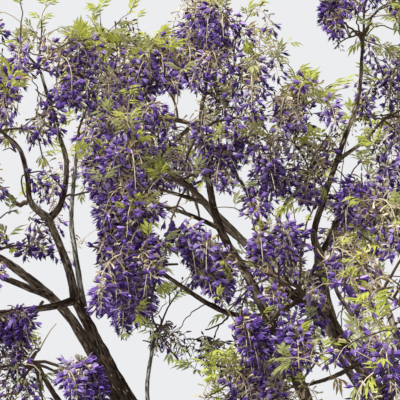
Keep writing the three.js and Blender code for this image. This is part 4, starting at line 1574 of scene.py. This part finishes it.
    def grow(self) -> None:
        """Grows the branchlets, every mass and then the bunches."""
        for branchlet in BRANCHLETS:
            self.dress_branchlet(branchlet)
        tips = []
        for index in range(len(MASSES)):
            self.random = np.random.default_rng((self.seed, index))
            for shoot in self.growth.grow(index):
                self.dress_shoot(shoot)
                tips.append(shoot.path.points[-1])
        for bunch in BUNCHES:
            self.dress_bunch(bunch, tips)

    def tufts(self, shape: Piece) -> list[Piece]:
        """Sets the leaf on its places, each with a turn and a size, one piece for each tint."""
        recipe = spot_recipe()
        pieces = []
        for spots, finish in zip(self.leaves, LEAF_FINISHES):
            places, turns, sizes = (np.array(values) for values in zip(*spots))
            name = f"{finish.name}_tufts"
            mesh = bpy.data.meshes.new(name)
            mesh.from_pydata((places * MM).tolist(), [], [])
            give(mesh, "turn", "FLOAT_VECTOR", turns)
            give(mesh, "size", "FLOAT", sizes)
            pieces.append(recipe.run(name, mesh, finish, {"Shape": shape}))
        return pieces

    def build(self) -> list[Piece]:
        """Grows and dresses every mass, and joins each kind of thing in its own pieces."""
        self.grow()
        tubes, rows, shapes = tube_recipe(), row_recipe(), Shapes.build()
        pieces = [
            tubes.run(name, bundle.mesh("paths"), finish, {"Sides": sides})
            for name, bundle, finish, sides in (
                ("twigs", self.twigs, TWIG_FINISH, 4),
                ("young_twigs", self.young_twigs, YOUNG_TWIG_FINISH, 3),
                ("cluster_stalks", self.axes, STALK_FINISH, 3),
            )
        ]
        for kind, bundle, spacing, finishes in (
            # Banners paler and wings darker: painted light and painted shade on each flower.
            ("banners", self.flowers, self.flower_spacing, LIT_BANNER_FINISHES),
            ("wings", self.flowers, self.flower_spacing, SHADED_WING_FINISHES),
            # Keels in painted shade.
            ("keels", self.flowers, self.flower_spacing, SHADED_KEEL_FINISHES),
            ("cups", self.flowers, self.flower_spacing, CALYX_FINISHES),
            ("buds", self.buds, self.bud_spacing, BUD_FINISHES),
            ("stalks", self.spent, self.bud_spacing, SPENT_FINISHES),
        ):
            pieces += [
                rows.run(f"{finish.name}_{kind}", bundle.mesh("paths"), finish, {
                    "Shape": shapes[kind], "Spacing": spacing * MM, "Sway": self.flower_sway,
                    "Tint": tint, "Tints": len(finishes), "Seed": self.seed,
                })
                for tint, finish in enumerate(finishes)
            ]
        pieces += self.tufts(shapes["leaves"])
        masses = [f"mass_{mass.limb}" for mass in MASSES]
        for piece in pieces:
            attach(piece, BODY)
            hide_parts(*masses)
        return pieces


@dataclass
class Studio:
    """The plain pale floor, the soft light and the camera at the photograph's place."""

    eye: Place = (-800, -4465, 1427)
    aim: Place = (-800, -200, 3150)
    frame_half_width: float = 600
    backdrop: Place = (0.84, 0.845, 0.865)
    fill: float = 0.45
    floor_size: float = 80000
    sun_strength: float = 5.9
    sun_angle: float = 8
    sun_from: Place = (-0.8, -0.75, 1.1)
    floor_finish: Finish = Finish("floor_pale", (0.47, 0.47, 0.46), 0.9)
    sensor: float = 36

    def build(self) -> None:
        """Builds the floor, the lights and the camera."""
        scene = bpy.context.scene
        scene.view_settings.view_transform = "Standard"
        self.floor()
        world = bpy.data.worlds.new("pale_studio")
        world.use_nodes = True
        self.dome(world.node_tree)
        scene.world = world
        sun = bpy.data.lights.new("soft_sun", "SUN")
        sun.energy = self.sun_strength
        sun.angle = math.radians(self.sun_angle)
        lamp = bpy.data.objects.new("soft_sun", sun)
        lamp.rotation_euler = Vector(self.sun_from).to_track_quat("Z", "Y").to_euler()
        scene.collection.objects.link(lamp)
        eye, aim = Vector(self.eye) * MM, Vector(self.aim) * MM
        lens = bpy.data.cameras.new("camera")
        lens.sensor_width = self.sensor
        lens.lens = self.sensor / 2 / (self.frame_half_width * MM / (aim - eye).length)
        camera = bpy.data.objects.new("camera", lens)
        camera.location = eye
        camera.rotation_euler = (eye - aim).to_track_quat("Z", "Y").to_euler()
        scene.collection.objects.link(camera)
        scene.camera = camera

    def dome(self, tree: bpy.types.NodeTree) -> None:
        """Makes the pale backdrop, which lights the tree less than it shows."""
        tree.nodes.clear()
        nodes = Nodes(tree)
        lit, shown = (
            nodes.made("ShaderNodeBackground", {"Color": (*self.backdrop, 1), "Strength": strength})
            for strength in (self.fill, 1.0)
        )
        rays = nodes.step("ShaderNodeLightPath", {}).outputs["Is Camera Ray"]
        mix = nodes.made("ShaderNodeMixShader", {"Fac": rays, 1: lit, 2: shown})
        nodes.step("ShaderNodeOutputWorld", {"Surface": mix})

    def floor(self) -> None:
        """Lays the plain floor."""
        half = self.floor_size / 2
        corners = np.array(((-half, -half, 0), (half, -half, 0), (half, half, 0), (-half, half, 0)))
        floor = new_object("floor", mesh_of("floor", corners, [(0, 1, 2, 3)]))
        floor.data.materials.append(self.floor_finish.build())
        floor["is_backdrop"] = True


def main() -> None:
    """Builds the whole scene and reports each piece."""
    logging.basicConfig(level=logging.INFO, format="%(message)s")
    for left_over in list(bpy.context.scene.objects):
        bpy.data.objects.remove(left_over)
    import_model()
    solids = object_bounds()
    skeleton = Skeleton(Trunk())
    pieces = Wood(skeleton).build()
    foliage = Foliage(Growth(skeleton), np.array(solids[0]) / MM, np.array(solids[1]) / MM)
    pieces += foliage.build()
    for piece in pieces:
        triangles = sum(len(face.vertices) - 2 for face in piece.data.polygons)
        LOG.info("%s: %d triangles", piece.name, triangles)
    LOG.info("clusters: %d", len(foliage.axes.points))
    Studio().build()


if __name__ == "__main__":
    main()
